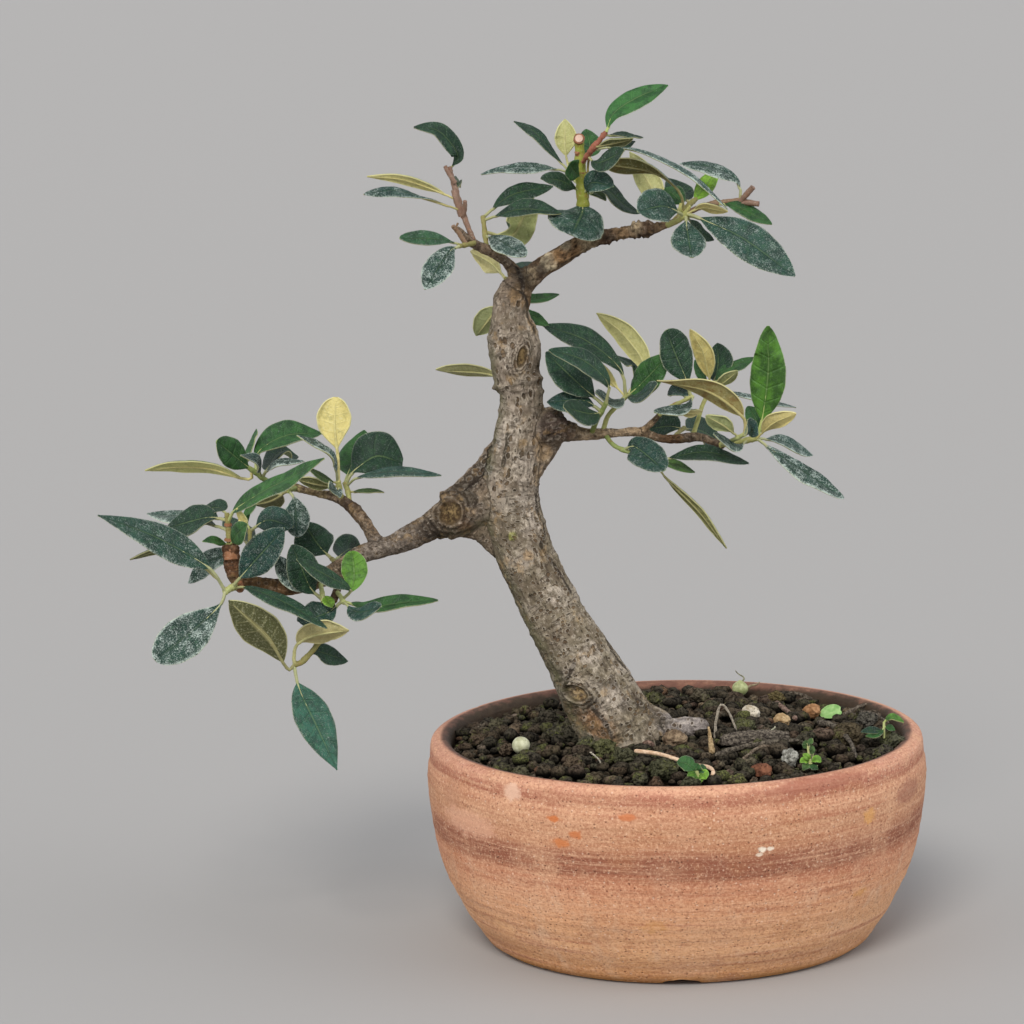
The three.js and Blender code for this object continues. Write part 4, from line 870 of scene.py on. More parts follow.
def shapeBark(trunk):
    points = readPoints(trunk)
    normals = readNormals(trunk)
    space, bark = barkSpace(points)
    tree = BVHTree.FromObject(trunk, bpy.context.evaluated_depsgraph_get())
    frames = scarFrames(tree)
    relief = stainBark(trunk, tree, points)
    heart = np.zeros(len(points))
    rings = np.zeros(len(points))
    reach = np.full(len(points), 4.0)
    moved = np.zeros(len(points))
    for i, (x, y, z) in enumerate(space / mm):
        crease = noise.noise(Vector((x / 1.5, y / 1.5, z / 5.5)))
        plate = noise.noise(Vector((x / 3.4 + 7, y / 3.4, z / 4.2)))
        grain = noise.noise(Vector((x / 0.9, y / 0.9 + 3, z / 1.6)))
        lump = noise.noise(Vector((x / 9, y / 9, z / 12 + 11)))
        ridge = (1 - abs(crease) * 2.6) * wood["crease"]
        check = min(0, 0.22 - abs(plate + 0.1)) * 0.8
        knob = 0.45 - noise.voronoi(Vector((x / 2.7, y / 2.7, z / 3.6)))[0][0]
        moved[i] = ridge + grain * wood["grain"] + lump * wood["lump"]
        moved[i] += check * 0.5 + knob * wood["knobs"] - 0.1
    thin = np.clip(bark[:, 0] * 0.55, 0, 0.5)
    moved = moved * (1 - thin) + relief
    sway = np.array([noise.noise(Vector(point) / (2.2 * mm)) for point in points])
    for hit, normal, wide, high, halfWide, halfHigh, hollow, callus, bare in frames:
        offset = points - np.array(hit)
        facing = normals @ np.array(normal)
        u = offset @ np.array(wide) / halfWide
        v = offset @ np.array(high) / halfHigh
        deep = offset @ np.array(normal)
        far = np.sqrt(u ** 2 + v ** 2) * (1 + 0.12 * sway)
        near = (facing > -0.1) & (np.abs(deep) < 6 * mm)
        lip = np.exp(-((far - 1.18) / 0.2) ** 2) + 0.45 * np.exp(-((far - 1.62) / 0.16) ** 2)
        lip += 0.22 * np.exp(-((far - 2.0) / 0.14) ** 2)
        pit = 1 / (1 + np.exp((far - 0.9) / 0.06))
        growth = (0.12 * np.cos(far * 22) + 0.35 * sway) * (far < 0.9)
        scar = np.where(near, 1.0, 0.0)
        reach = np.where(near, np.minimum(reach, far), reach)
        fade = np.clip((far - 1.0) / 1.0, 0, 1)
        face = lip * callus - pit * hollow + growth * pit * mm
        moved = moved * (1 - scar * (1 - fade)) + scar * face / mm
        heart = np.maximum(heart, scar * pit * bare)
        rings = np.maximum(rings, scar * np.clip(1 - (far - 0.9) / 2.2, 0, 1) * (far > 0.9))
    writePoints(trunk, points + normals * moved[:, None] * mm)
    setVectors(trunk, "barkSpace", space)
    setColours(trunk, "barkKind", np.column_stack([bark, np.ones(len(points))]))
    # how far each point is sunk, kept for painted shade in the hollows
    low = np.clip(-moved, 0, 1)
    setColours(trunk, "scar", np.column_stack([heart, rings, low, np.clip(reach / 4, 0, 1)]))


def barkFinish():
    bark = Finish("bark", Roughness=0.9, Specular_IOR_Level=0.08)
    space = bark.stretched(bark.attribute("barkSpace", "Vector"), (1 / mm, 1 / mm, 1 / mm))
    sideways, _, _ = bark.parts(space)
    brown, striped, mossy = bark.parts(bark.attribute("barkKind"))
    heart, rings, low = bark.parts(bark.attribute("scar"))
    reach = bark.attribute("scar", "Alpha") * 4
    spot = bark.place(potAxis)
    _, _, height = bark.parts(spot)
    # gritty grey-tan skin: broad clouds, then patches, then fine dark and pale crumbs
    slow = bark.noise(space, 10, 4, 0.6)
    patch = bark.noise(bark.stretched(space, (1, 1, 0.75)), 3.2, 5, 0.68, 0.6)
    crumb = bark.noise(bark.stretched(space, (1, 1, 0.6)), 1.5, 6, 0.82)
    upper = bark.step(height, 135, 175)
    body = bark.mix(upper, (0.245, 0.208, 0.152), (0.275, 0.230, 0.183))
    shade = bark.mix(upper, (0.155, 0.125, 0.085), (0.178, 0.143, 0.108))
    colour = bark.wash(shade, body, patch, 0.36, 0.60)
    colour = bark.wash(colour, (0.40, 0.345, 0.285), slow, 0.50, 0.64, 0.6)
    colour = bark.wash(colour, (0.115, 0.088, 0.062), slow, 0.50, 0.36, 0.7)
    colour = bark.wash(colour, (0.62, 0.54, 0.44), crumb, 0.52, 0.66, 0.58)
    colour = bark.wash(colour, (0.045, 0.032, 0.022), crumb, 0.45, 0.35, 0.9)
    # browner bark on the branches, with stripes round the limb
    brownTone = bark.wash((0.055, 0.032, 0.018), (0.215, 0.135, 0.075), patch, 0.40, 0.62)
    brownTone = bark.wash(brownTone, (0.42, 0.31, 0.20), crumb, 0.54, 0.66, 0.8)
    brownTone = bark.wash(brownTone, (0.020, 0.012, 0.008), crumb, 0.48, 0.36, 0.8)
    colour = bark.mix((brown * 1.1).clamped(), colour, brownTone)
    stripes = bark.noise(bark.stretched(space, (0.28, 0.28, 1.0)), 1.25, 4, 0.65)
    colour = bark.mix(bark.step(stripes, 0.55, 0.62) * striped * 0.8, colour, (0.035, 0.020, 0.012))
    colour = bark.mix(bark.step(stripes, 0.45, 0.38) * striped * 0.5, colour, (0.46, 0.33, 0.20))
    # stained places, with ragged edges
    stain = bark.attribute("barkStain")
    cover = bark.attribute("barkStain", "Alpha")
    ragged = bark.step(cover + (patch - 0.5) * 0.9 + (crumb - 0.5) * 0.8, 0.30, 0.62)
    stained = bark.wash(bark.mix(0.6, stain, (0.02, 0.014, 0.01)), stain, crumb, 0.40, 0.60)
    stained = bark.wash(stained, (0.60, 0.52, 0.42), crumb, 0.56, 0.68, 0.5)
    colour = bark.mix(ragged * 0.92, colour, stained)
    # cracks along the limb
    plates = bark.stretched(bark.warped(space, 1.1, 4), (1, 1, 0.4))
    flakes = bark.cells(plates, 3.4, feature="DISTANCE_TO_EDGE")
    crack = bark.step(flakes, 0.05, 0.01) * bark.step(bark.noise(space, 5, 3, 0.6), 0.55, 0.62)
    colour = bark.mix(crack * 0.4, colour, (0.060, 0.043, 0.030))
    # short dark slots across the lower trunk and along the upper one
    rows = bark.stretched(bark.warped(space, 0.7, 3), bark.mix(upper, (1, 1, 1.35), (1, 1, 0.6)))
    slot = bark.cells(rows, 2.25)
    chosen, second, _ = bark.parts(bark.cells(rows, 2.25, out="Color"))
    slot = slot + (bark.noise(space, 0.8, 3, 0.7) - 0.5) * 0.40
    big = second * 0.16
    hole = bark.step(slot, 0.30 + big, 0.19 + big) * bark.step(chosen, 0.42, 0.46) * (1 - brown * 0.7)
    lip = bark.step(slot, 0.56, 0.40) * bark.step(chosen, 0.38, 0.42) * (1 - hole) * (1 - brown).clamped()
    colour = bark.mix(lip * 0.3, colour, (0.62, 0.54, 0.44))
    colour = bark.mix(hole * 0.9, colour, bark.mix(second, (0.030, 0.020, 0.013), (0.14, 0.09, 0.05)))
    fleck = bark.cells(bark.stretched(space, (1, 1, 0.5)), 1.25)
    tiny, _, _ = bark.parts(bark.cells(bark.stretched(space, (1, 1, 0.5)), 1.25, out="Color"))
    dot = bark.step(fleck, 0.30, 0.16) * bark.step(tiny, 0.66, 0.70)
    colour = bark.mix(dot * 0.7, colour, (0.045, 0.032, 0.022))
    # wrinkles across the limb, and growth lines round the old cuts
    wrinkle = bark.noise(bark.stretched(bark.warped(space, 1.2, 5), (0.22, 0.22, 1.0)), 1.1, 3, 0.6)
    fold = bark.step(wrinkle, 0.55, 0.62) * bark.step(slow, 0.40, 0.52)
    colour = bark.mix(fold * 0.55, colour, (0.090, 0.066, 0.048))
    around = (reach * 13 + bark.noise(space, 2.5, 3, 0.6) * 7).sine()
    ringLine = bark.step(around, 0.35, 0.9) * rings * bark.step(crumb, 0.60, 0.45)
    colour = bark.mix(ringLine * 0.7, colour, (0.060, 0.042, 0.028))
    paleLine = bark.step(around, -0.2, -0.9) * rings
    colour = bark.mix(paleLine * (0.3 - cover * 0.22), colour, (0.50, 0.42, 0.32))
    heartGrain = bark.noise(space, 1.6, 5, 0.7)
    heartTone = bark.wash((0.075, 0.038, 0.012), (0.44, 0.30, 0.13), heartGrain, 0.40, 0.58)
    colour = bark.mix(heart, colour, heartTone)
    edge = bark.step(reach, 0.72, 0.88) * bark.step(reach, 1.10, 0.95)
    colour = bark.mix(edge * 0.75, colour, (0.045, 0.028, 0.016))
    # thin green growth low on the trunk's shaded side, painted shade down that side, warm stains, and painted
    # shade in the bark's sunken places
    paintedShadeSide = bark.step(sideways, 1.5, 7.5)
    growth = bark.noise(spot, 8, 4, 0.65)
    green = bark.step(growth, 0.42, 0.60) * mossy * (paintedShadeSide * 0.9 + 0.25)
    # the shaded side of the lower trunk goes dark grey-green: partly growth, partly painted shade
    growthAndShadeTone = bark.mix(crumb, (0.035, 0.032, 0.020), (0.20, 0.18, 0.12))
    colour = bark.mix((paintedShadeSide * mossy).clamped(), colour, growthAndShadeTone)
    greenTone = bark.mix(crumb, (0.045, 0.048, 0.022), (0.20, 0.20, 0.09))
    colour = bark.mix(green.clamped() * 0.75, colour, greenTone)
    warm = bark.step(bark.noise(spot, 6.5, 4, 0.65), 0.56, 0.68)
    colour = bark.mix(warm * 0.35, colour, (0.42, 0.27, 0.12))
    # painted shade in the sunken places of the bark
    colour = bark.wash(colour, (0.045, 0.032, 0.022), low, 0.25, 0.80, 0.6)
    bark.set("Roughness", 0.72 + patch * 0.3)
    relief = patch * 0.5 + crumb * 0.55 + brown * crumb + lip * 0.3 - hole - dot * 0.5
    relief = relief - fold * 0.5 - ringLine * 0.5
    relief = relief - bark.step(stripes, 0.52, 0.62) * striped * 0.6 - crack * 0.35
    return bark.done(colour, relief, 0.6, 1.0)


wholeTrunk = makeWood()
print("wood grown:", len(wholeTrunk.data.polygons), "faces")
shapeBark(wholeTrunk)
finished(smooth(wholeTrunk), barkFinish(), "bark", "trunk")
print("bark shaped")


# Leafy shoots

# top colour, underside colour and how frosted the top is with pale hairs
leafTints = {
    "dark": ((0.011, 0.038, 0.018), (0.17, 0.21, 0.10), 0.35),
    "teal": ((0.014, 0.052, 0.040), (0.18, 0.24, 0.13), 0.55),
    "grey": ((0.016, 0.050, 0.036), (0.22, 0.27, 0.16), 1.0),
    "green": ((0.030, 0.100, 0.022), (0.22, 0.31, 0.10), 0.22),
    "dusty": ((0.016, 0.056, 0.038), (0.22, 0.27, 0.16), 0.68),
    "sea": ((0.027, 0.100, 0.064), (0.18, 0.24, 0.13), 0.45),
    "bright": ((0.080, 0.200, 0.022), (0.28, 0.42, 0.09), 0.04),
    "fresh": ((0.19, 0.38, 0.035), (0.34, 0.50, 0.13), 0.0),
    "clear": ((0.032, 0.125, 0.026), (0.28, 0.42, 0.09), 0.12),
    "silver": ((0.026, 0.088, 0.036), (0.25, 0.30, 0.15), 0.5),
    "amber": ((0.014, 0.052, 0.040), (0.36, 0.31, 0.115), 0.8),
    "shade": ((0.016, 0.050, 0.036), (0.125, 0.115, 0.032), 0.75),
    "olive": ((0.045, 0.075, 0.018), (0.115, 0.118, 0.042), 0.12),
    "drab": ((0.045, 0.075, 0.018), (0.066, 0.074, 0.026), 0.1),
    "yellow": ((0.15, 0.20, 0.04), (0.60, 0.53, 0.21), 0.08),
    "pale": ((0.08, 0.16, 0.04), (0.38, 0.385, 0.17), 0.08),
}
# colour, how spotted and how rough
stemTints = {"green": ((0.20, 0.25, 0.07), 0.7, 0.06), "yellow": ((0.36, 0.36, 0.12), 0.7, 0.06),
             "pale": ((0.42, 0.45, 0.18), 0.6, 0.06), "olive": ((0.22, 0.20, 0.06), 0.7, 0.08),
             "lime": ((0.23, 0.25, 0.03), 0.6, 0.07), "red": ((0.27, 0.085, 0.050), 0.8, 0.22),
             "pink": ((0.205, 0.122, 0.086), 0.7, 0.16), "wood": ((0.20, 0.12, 0.07), 0.4, 0.14),
             "cut": ((0.62, 0.42, 0.33), 0.0, 0.03), "scar": ((0.25, 0.105, 0.045), 0.6, 0.18)}
foliage = {"spread": 1.5, "cells": (40, 14), "fold": 14, "thick": 0.42, "stalk": 0.16, "stalkRadius": 0.50,
           "ribRadius": 0.42, "ribEnd": 0.1, "pucker": 0.16, "veins": 8, "veinSlant": 0.62, "stemSides": 14,
           "ribSides": 8}


def leaf(tint, width, away, face, path, stalk=None, **more):
    # a blade's width in mm, how far its tip lies behind its stem, how it faces, and its midrib's places
    return {"tint": tint, "width": width, "away": away, "face": face, "path": path,
            "stalk": foliage["stalk"] if stalk is None else stalk, **more}


def shoot(stem, radii, tint, *leaves):
    return {"stem": stem, "radii": radii, "tint": tint, "leaves": leaves}


shoots = {
    "left_shoot_1": shoot(
        [(283, 486, 22), (266, 480, 22), (252, 470, 21), (240, 462, 20)], [1.2, 0.9], "green",
        leaf("yellow", 10, 6, -25, [(250, 473), (248, 479), (212, 467), (178, 465), (145, 470)]),
        leaf("green", 11, -8, 62, [(252, 468), (240, 460), (217, 441)], stalk=0.06, widest=0.55, blunt=0.5),
        leaf("green", 8, 10, 20, [(247, 464), (250, 447), (256, 429)]),
        leaf("green", 14, 8, 38, [(257, 470), (259, 450), (286, 434), (322, 433)]),
        leaf("dark", 11, 20, 35, [(263, 476), (278, 452), (298, 456)]),
        leaf("grey", 8, -8, 18, [(262, 476), (276, 462), (304, 461)]),
        leaf("grey", 7, -14, 22, [(262, 476), (257, 461), (241, 455)]),
    ),
    "left_shoot_2": shoot(
        [(296, 488, 18), (291, 490, 14), (287, 491, 12)], [1, 0.9], "green",
        leaf("olive", 10, 10, -45, [(287, 491), (272, 499), (253, 504)]),
        leaf("grey", 10, -6, 75, [(288, 490), (294, 498), (296, 513), (297, 537)], widest=0.55, blunt=0.5),
    ),
    "left_shoot_3": shoot(
        [(342, 501, 7), (340, 490, 5), (338, 481, 4)], [1.2, 1], "yellow",
        leaf("grey", 9, -10, 15, [(338, 481), (334, 457), (318, 445), (297, 435)]),
        leaf("yellow", 12.5, 2, -88, [(339, 482), (338, 458), (335, 428), (336, 397)], stalk=0.36,
             widest=0.60, blunt=0.48, wave=0.02, fold=8),
        leaf("olive", 5, -4, 30, [(338, 484), (324, 477), (307, 467)]),
        leaf("olive", 7, 4, -35, [(338, 487), (318, 483), (298, 479)]),
        leaf("grey", 7, -14, 45, [(340, 487), (338, 490), (329, 488)]),
    ),
    "left_shoot_4": shoot(
        [(350, 506, 6), (348, 492, 9), (345, 483, 11)], [1.2, 1], "yellow",
        leaf("green", 13, 16, 60, [(345, 483), (353, 456), (364, 430)]),
        leaf("dark", 20, 4, 55, [(345, 484), (356, 468), (377, 454), (403, 462)], widest=0.56, blunt=0.42),
        leaf("teal", 9, -12, 20, [(346, 486), (360, 476), (396, 470), (441, 475)]),
        leaf("olive", 5, -4, 20, [(348, 492), (366, 490), (384, 492)]),
    ),
    "left_shoot_5": shoot(
        [(230, 549, -18), (229, 536, -18), (228, 525, -18), (227, 513, -18)], [1.3, 0.9], "olive",
        leaf("dark", 13, 10, 48, [(227, 520), (205, 517), (166, 528)]),
        leaf("grey", 11, 24, 28, [(228, 530), (188, 516), (147, 513)]),
        leaf("dark", 8, 12, 50, [(227, 514), (218, 507), (200, 510)]),
        leaf("green", 12, -12, 34, [(228, 522), (236, 508), (262, 490), (292, 475), (324, 458)], stalk=0.1,
             widest=0.42, wave=0.14),
        leaf("yellow", 4, -3, -60, [(229, 536), (243, 523), (237, 508)]),
        leaf("green", 4, -8, 50, [(229, 545), (215, 540), (203, 541)]),
        leaf("green", 8, -9, 60, [(229, 546), (236, 535), (247, 524)]),
    ),
    "left_shoot_6": shoot(
        [(238, 586, -19), (231, 588, -22), (225, 592, -24)], [1.5, 1.2], "pale",
        leaf("dusty", 13, -10, 55, [(225, 590), (207, 566), (156, 536), (98, 515)], stalk=0.2,
             widest=0.40, blunt=0.9, wave=0.05),
        leaf("grey", 15.5, -10, 78, [(226, 593), (219, 606), (190, 632), (155, 660)], stalk=0.1,
             widest=0.6, blunt=0.45, wave=0.03),
        leaf("teal", 13, -6, 80, [(231, 586), (243, 574), (262, 552), (284, 528)]),
        leaf("dark", 9, -19, 30, [(234, 587), (252, 588), (290, 604), (327, 628)], stalk=0.1),
        leaf("olive", 7, 10, -20, [(227, 590), (204, 566), (168, 548), (130, 559)]),
    ),
    "left_shoot_7": shoot(
        [(255, 582, -17), (252, 560, -10), (250, 545, -5), (250, 530, -2)], [1.3, 0.9], "olive",
        leaf("teal", 13, -6, 55, [(250, 531), (268, 519), (293, 526)]),
        leaf("green", 5, 6, 40, [(250, 530), (246, 515), (256, 497)]),
        leaf("grey", 9, 14, 60, [(252, 560), (214, 558), (188, 583)]),
        leaf("dark", 11, 28, 40, [(251, 548), (240, 530), (226, 516)]),
    ),
    "left_shoot_8": shoot(
        [(320, 582, -17), (322, 592, -21), (323, 602, -23)], [1.1, 0.9], "pale",
        leaf("dark", 13, -2, 65, [(322, 600), (311, 588), (301, 565), (292, 545)]),
        leaf("grey", 10, 2, 50, [(322, 598), (302, 584), (276, 556)]),
        leaf("fresh", 4.5, -4, 60, [(322, 594), (327, 599), (332, 607)]),
    ),
    "left_shoot_9": shoot(
        [(340, 567, -13), (336, 563, -5), (332, 559, 0)], [1.1, 0.9], "olive",
        leaf("dark", 15, 8, 70, [(332, 559), (320, 546), (304, 522)]),
        leaf("dark", 12, 24, 50, [(334, 561), (350, 548), (362, 560)]),
    ),
    "left_shoot_10": shoot(
        [(337, 592, -19), (341, 597, -22), (344, 603, -24)], [1.1, 0.9], "pale",
        leaf("dark", 9, -8, 35, [(341, 600), (350, 589), (330, 576), (297, 559)]),
        leaf("bright", 9.5, 6, 85, [(342, 600), (352, 588), (354, 570), (351, 551)], widest=0.6, blunt=0.45),
        leaf("green", 9, -4, 36, [(343, 601), (368, 606), (405, 601), (438, 600)], stalk=0.08),
        leaf("green", 5, 12, 30, [(343, 602), (366, 606), (386, 610)]),
        leaf("teal", 13, -2, 50, [(342, 601), (326, 612), (297, 620)]),
        leaf("teal", 9, -14, 40, [(343, 602), (358, 611), (381, 606)]),
    ),
    "left_shoot_11": shoot(
        [(333, 602, -20), (321, 638, -22), (304, 660, -23), (294, 665, -24)], [1.3, 1.2], "olive",
        leaf("pale", 12, -5, -45, [(294, 664), (295, 648), (306, 636), (326, 631), (349, 630)], stalk=0.3),
        leaf("drab", 15.5, -6, -68, [(293, 668), (287, 668), (268, 636), (229, 600)], widest=0.5, blunt=0.8),
        leaf("sea", 13.5, -8, 72, [(295, 667), (300, 690), (318, 728), (337, 770)], widest=0.42, blunt=0.95),
        leaf("dark", 9, 6, 45, [(305, 660), (318, 651), (348, 661)]),
    ),
    "crown_shoot_1": shoot(
        [(473, 240, -7), (461, 208, -6), (454, 185, -5), (449, 167, -5)], [1.3, 1.1], "pink",
        leaf("dark", 7.5, -6, 62, [(450, 169), (458, 156), (450, 141), (436, 129), (414, 127)],
             stalk=0.06, twist=-20, wave=0.03),
        leaf("yellow", 5.5, -4, -35, [(458, 201), (430, 187), (400, 178), (367, 176)], twist=0),
        leaf("amber", 6.5, -14, 0, [(461, 211), (430, 199), (395, 190), (364, 194)], twist=95, widest=0.6),
        leaf("olive", 4, 24, 35, [(455, 190), (458, 183), (456, 176)]),
    ),
    "crown_shoot_2": shoot(
        [(474, 243, -8), (466, 245, -12), (459, 246, -15)], [1.2, 0.9], "olive",
        leaf("silver", 7.5, -8, 50, [(464, 245), (435, 238), (400, 238)], widest=0.58, blunt=0.5, wave=0.02),
        leaf("grey", 10.5, -12, 78, [(459, 246), (447, 254), (425, 289)], stalk=0.06, widest=0.52, blunt=0.7),
    ),
    "crown_shoot_3": shoot(
        [(487, 250, -5), (485, 234, -2), (483, 216, 0)], [1.2, 0.9], "olive",
        leaf("grey", 10, -14, 55, [(482, 236), (500, 240), (525, 256)], stalk=0.06, widest=0.55, blunt=0.5),
        leaf("dark", 10, 4, 45, [(483, 217), (512, 194), (553, 186)]),
        leaf("dark", 9, -8, 45, [(484, 220), (522, 208), (561, 213)]),
        leaf("pale", 12, 10, -70, [(485, 232), (510, 236), (522, 218), (533, 197)]),
    ),
    "crown_shoot_4": shoot(
        [(516, 283, 2), (511, 283, 8), (506, 279, 12)], [1.2, 0.9], "olive",
        leaf("pale", 10, 8, -50, [(506, 279), (492, 262), (471, 251)]),
        leaf("dark", 11, 24, 40, [(509, 281), (522, 268), (538, 262)]),
    ),
    "crown_shoot_5": shoot(
        [(585, 241, 4), (583, 205, 3), (581, 170, 3), (579, 139, 3)], [2.1, 1.9, 1.8, 1.7], "lime",
        leaf("dusty", 20.5, -13, 88, [(585, 204), (582, 213), (577, 224), (572, 235)],
             stalk=0.03, widest=0.52, blunt=0.5, heel=0.5, wave=0, curl=0.1, cup=-0.15, fold=2, twist=0),
        leaf("teal", 10, -10, 60, [(583, 196), (592, 182), (613, 186)]),
        leaf("dark", 9, -6, 48, [(582, 192), (561, 180), (541, 178)]),
        leaf("green", 8, -9, 70, [(581, 178), (574, 170), (570, 163)]),
        leaf("olive", 5, -6, 40, [(582, 190), (595, 192), (606, 200)]),
        leaf("dark", 9, 14, 45, [(582, 188), (605, 188), (625, 204), (640, 213)]),
        leaf("green", 9, 12, 80, [(580, 160), (590, 148), (586, 129)]),
    ),
    "crown_shoot_6": shoot(
        [(580, 184, 5), (574, 179, 9), (570, 172, 11)], [1.1, 0.9], "pale",
        leaf("grey", 7.5, -6, 30, [(570, 173), (552, 168), (515, 166), (481, 174)], wave=0.2),
        leaf("dark", 7.5, 6, 30, [(571, 172), (553, 152), (535, 131), (514, 121)]),
        leaf("pale", 8, 2, -85, [(570, 171), (566, 155), (565, 138), (565, 119)], stalk=0.3),
    ),
    "crown_shoot_7": shoot(
        [(583, 162, -1), (590, 152, -4), (598, 142, -5), (606, 132, -5)], [0.95, 1.2, 1.15, 0.85], "red",
        leaf("clear", 10.5, 4, 50, [(606, 132), (614, 112), (638, 96), (668, 85)], stalk=0.04),
        leaf("dark", 6, 8, 20, [(604, 136), (622, 134), (643, 137)]),
        leaf("grey", 6.5, -8, 20, [(592, 151), (613, 147), (645, 152), (692, 175), (728, 209)]),
        leaf("olive", 6, -8, -30, [(594, 149), (604, 144), (633, 138)]),
        leaf("dark", 9, -12, 55, [(588, 156), (598, 162), (624, 150)]),
        leaf("dark", 6, 8, 40, [(596, 146), (614, 146), (635, 141)]),
    ),
    "crown_shoot_8": shoot(
        [(668, 225, 2), (679, 220, -2), (688, 213, -4)], [1.4, 1.2], "yellow",
        leaf("dusty", 14, -12, 65, [(684, 215), (664, 205), (638, 211)], widest=0.52, blunt=0.6, wave=0.03),
        leaf("dusty", 12.5, -12, 80, [(686, 215), (687, 227), (692, 257)], widest=0.55, blunt=0.5),
        leaf("dusty", 16, -10, 60, [(688, 214), (705, 220), (745, 238), (795, 276)], stalk=0.1,
             widest=0.5, blunt=0.75, wave=0.04),
        leaf("yellow", 7, -4, -25, [(688, 213), (703, 206), (728, 211)]),
        leaf("dark", 6, 4, 50, [(687, 216), (701, 232), (714, 240)]),
    ),
    "crown_shoot_9": shoot(
        [(672, 223, 4), (683, 212, 7), (690, 204, 9), (696, 199, 11)], [1.3, 1], "olive",
        leaf("shade", 10.5, -8, 0, [(684, 210), (678, 188), (650, 169), (602, 163)], widest=0.64, twist=-75,
             wave=0.05, rust=0.2),
        leaf("pale", 9, 10, -75, [(682, 212), (660, 198), (646, 178), (630, 152)]),
        leaf("green", 9, 3, 60, [(686, 208), (675, 195), (664, 188)]),
        leaf("dark", 10, 14, 60, [(690, 204), (682, 192), (668, 178)]),
        leaf("fresh", 6.5, 6, 85, [(694, 203), (701, 192), (718, 169)], stalk=0.04, wave=0.02, twist=0),
    ),
    "crown_shoot_10": shoot(
        [(677, 220, 1), (691, 211, 2), (712, 204, 2), (738, 201, 3), (758, 204, 3)], [1.3, 1.2], "wood",
        leaf("grey", 10, 2, 30, [(740, 201), (738, 181), (715, 167), (680, 163)]),
        leaf("green", 9, -4, 40, [(715, 204), (738, 206), (772, 224)]),
    ),
    "trunk_shoot_1": shoot(
        [(507, 309, 2), (507, 303, 10), (506, 299, 15)], [1.2, 0.9], "olive",
        leaf("pale", 10, 6, -60, [(506, 301), (493, 313), (476, 335)]),
        leaf("green", 7, 8, 35, [(506, 299), (532, 298), (559, 294)]),
        leaf("green", 7, -2, 40, [(507, 303), (530, 314), (549, 325)]),
    ),
    "trunk_shoot_2": shoot(
        [(519, 388, 4), (516, 384, 12), (513, 382, 16)], [1.1, 0.9], "olive",
        leaf("pale", 9, 4, -28, [(513, 382), (482, 371), (436, 369)]),
    ),
    "right_shoot_1": shoot(
        [(603, 431, 5), (608, 416, 7), (619, 404, 8), (628, 394, 8)], [1.2, 0.9], "yellow",
        leaf("dark", 13, 2, 45, [(626, 396), (620, 368), (586, 339), (543, 325)]),
        leaf("green", 12, -6, 60, [(622, 400), (638, 386), (667, 356)]),
        leaf("grey", 9, -12, 30, [(626, 398), (614, 401), (596, 393)], stalk=0.05, curl=0.1,
             twist=0, wave=0.02),
        leaf("teal", 8.5, -12, 32, [(626, 397), (640, 395), (657, 384)], stalk=0.05, curl=0.1,
             twist=0, wave=0.02, fold=6),
        leaf("pale", 10, 12, -55, [(628, 394), (645, 366), (624, 333), (597, 313)]),
        leaf("dark", 7, 18, 30, [(627, 396), (638, 370), (616, 355)]),
        leaf("yellow", 6, 20, -50, [(626, 397), (604, 373), (572, 347)]),
    ),
    "right_shoot_2": shoot(
        [(592, 432, 3), (597, 420, -1), (602, 411, -3), (606, 403, -4)], [1.2, 0.9], "green",
        leaf("dark", 11, -8, 42, [(606, 403), (607, 380), (582, 358), (549, 350)]),
        leaf("dark", 16, 2, 55, [(605, 406), (586, 389), (565, 369), (546, 352)]),
        leaf("teal", 12, -2, 40, [(601, 411), (582, 399), (547, 402)]),
        leaf("dark", 11, -14, 48, [(600, 412), (588, 413), (564, 407)], stalk=0.06,
             fold=6, curl=0.1, twist=0, wave=0.04),
    ),
    "right_shoot_3": shoot(
        [(692, 438, 12), (697, 423, 14), (703, 404, 15), (712, 387, 16)], [1.2, 0.9], "yellow",
        leaf("yellow", 7.5, -6, -70, [(711, 388), (708, 370), (703, 350), (690, 329)], rust=0.2),
        leaf("green", 5, 2, 50, [(710, 390), (703, 378), (695, 360)]),
        leaf("dark", 12, 10, 60, [(712, 387), (717, 366), (717, 343)]),
        leaf("green", 8, 6, 35, [(712, 388), (722, 372), (738, 363), (755, 357)]),
        leaf("pale", 7, -4, -40, [(711, 389), (723, 381), (737, 370)]),
        leaf("grey", 7, 14, 15, [(711, 389), (750, 396), (796, 407)]),
    ),
    "right_shoot_4": shoot(
        [(659, 415, 4), (668, 408, 3), (681, 402, 2), (693, 396, 2)], [1, 0.8], "yellow",
        leaf("dark", 14, -2, 65, [(691, 397), (685, 375), (675, 350), (667, 330)], widest=0.58, blunt=0.42),
        leaf("teal", 9, 8, 55, [(688, 399), (682, 392), (672, 385)]),
        leaf("grey", 9, -10, 30, [(694, 396), (684, 406), (655, 412)], stalk=0.05, widest=0.58, blunt=0.5),
        leaf("yellow", 6, 8, -30, [(676, 404), (690, 412), (702, 411)]),
    ),
    "right_shoot_5": shoot(
        [(720, 445, 10), (738, 442, 8), (757, 438, 6)], [1.4, 1.2], "yellow",
        leaf("bright", 13, -2, 80, [(757, 438), (763, 414), (768, 370), (768, 326)], blunt=0.6, wave=0.03),
        leaf("yellow", 7, -10, -60, [(757, 438), (772, 423), (796, 413)]),
        leaf("green", 9, 8, 70, [(752, 439), (757, 422), (748, 406)]),
        leaf("grey", 8, -12, 30, [(748, 440), (736, 445), (714, 434)]),
        leaf("grey", 9, 10, 32, [(757, 438), (785, 441), (813, 455)]),
        leaf("grey", 10.5, -6, 36, [(757, 439), (776, 452), (810, 474), (844, 498)], stalk=0.1,
             heel=0.8, blunt=0.45),
    ),
    "right_shoot_6": shoot(
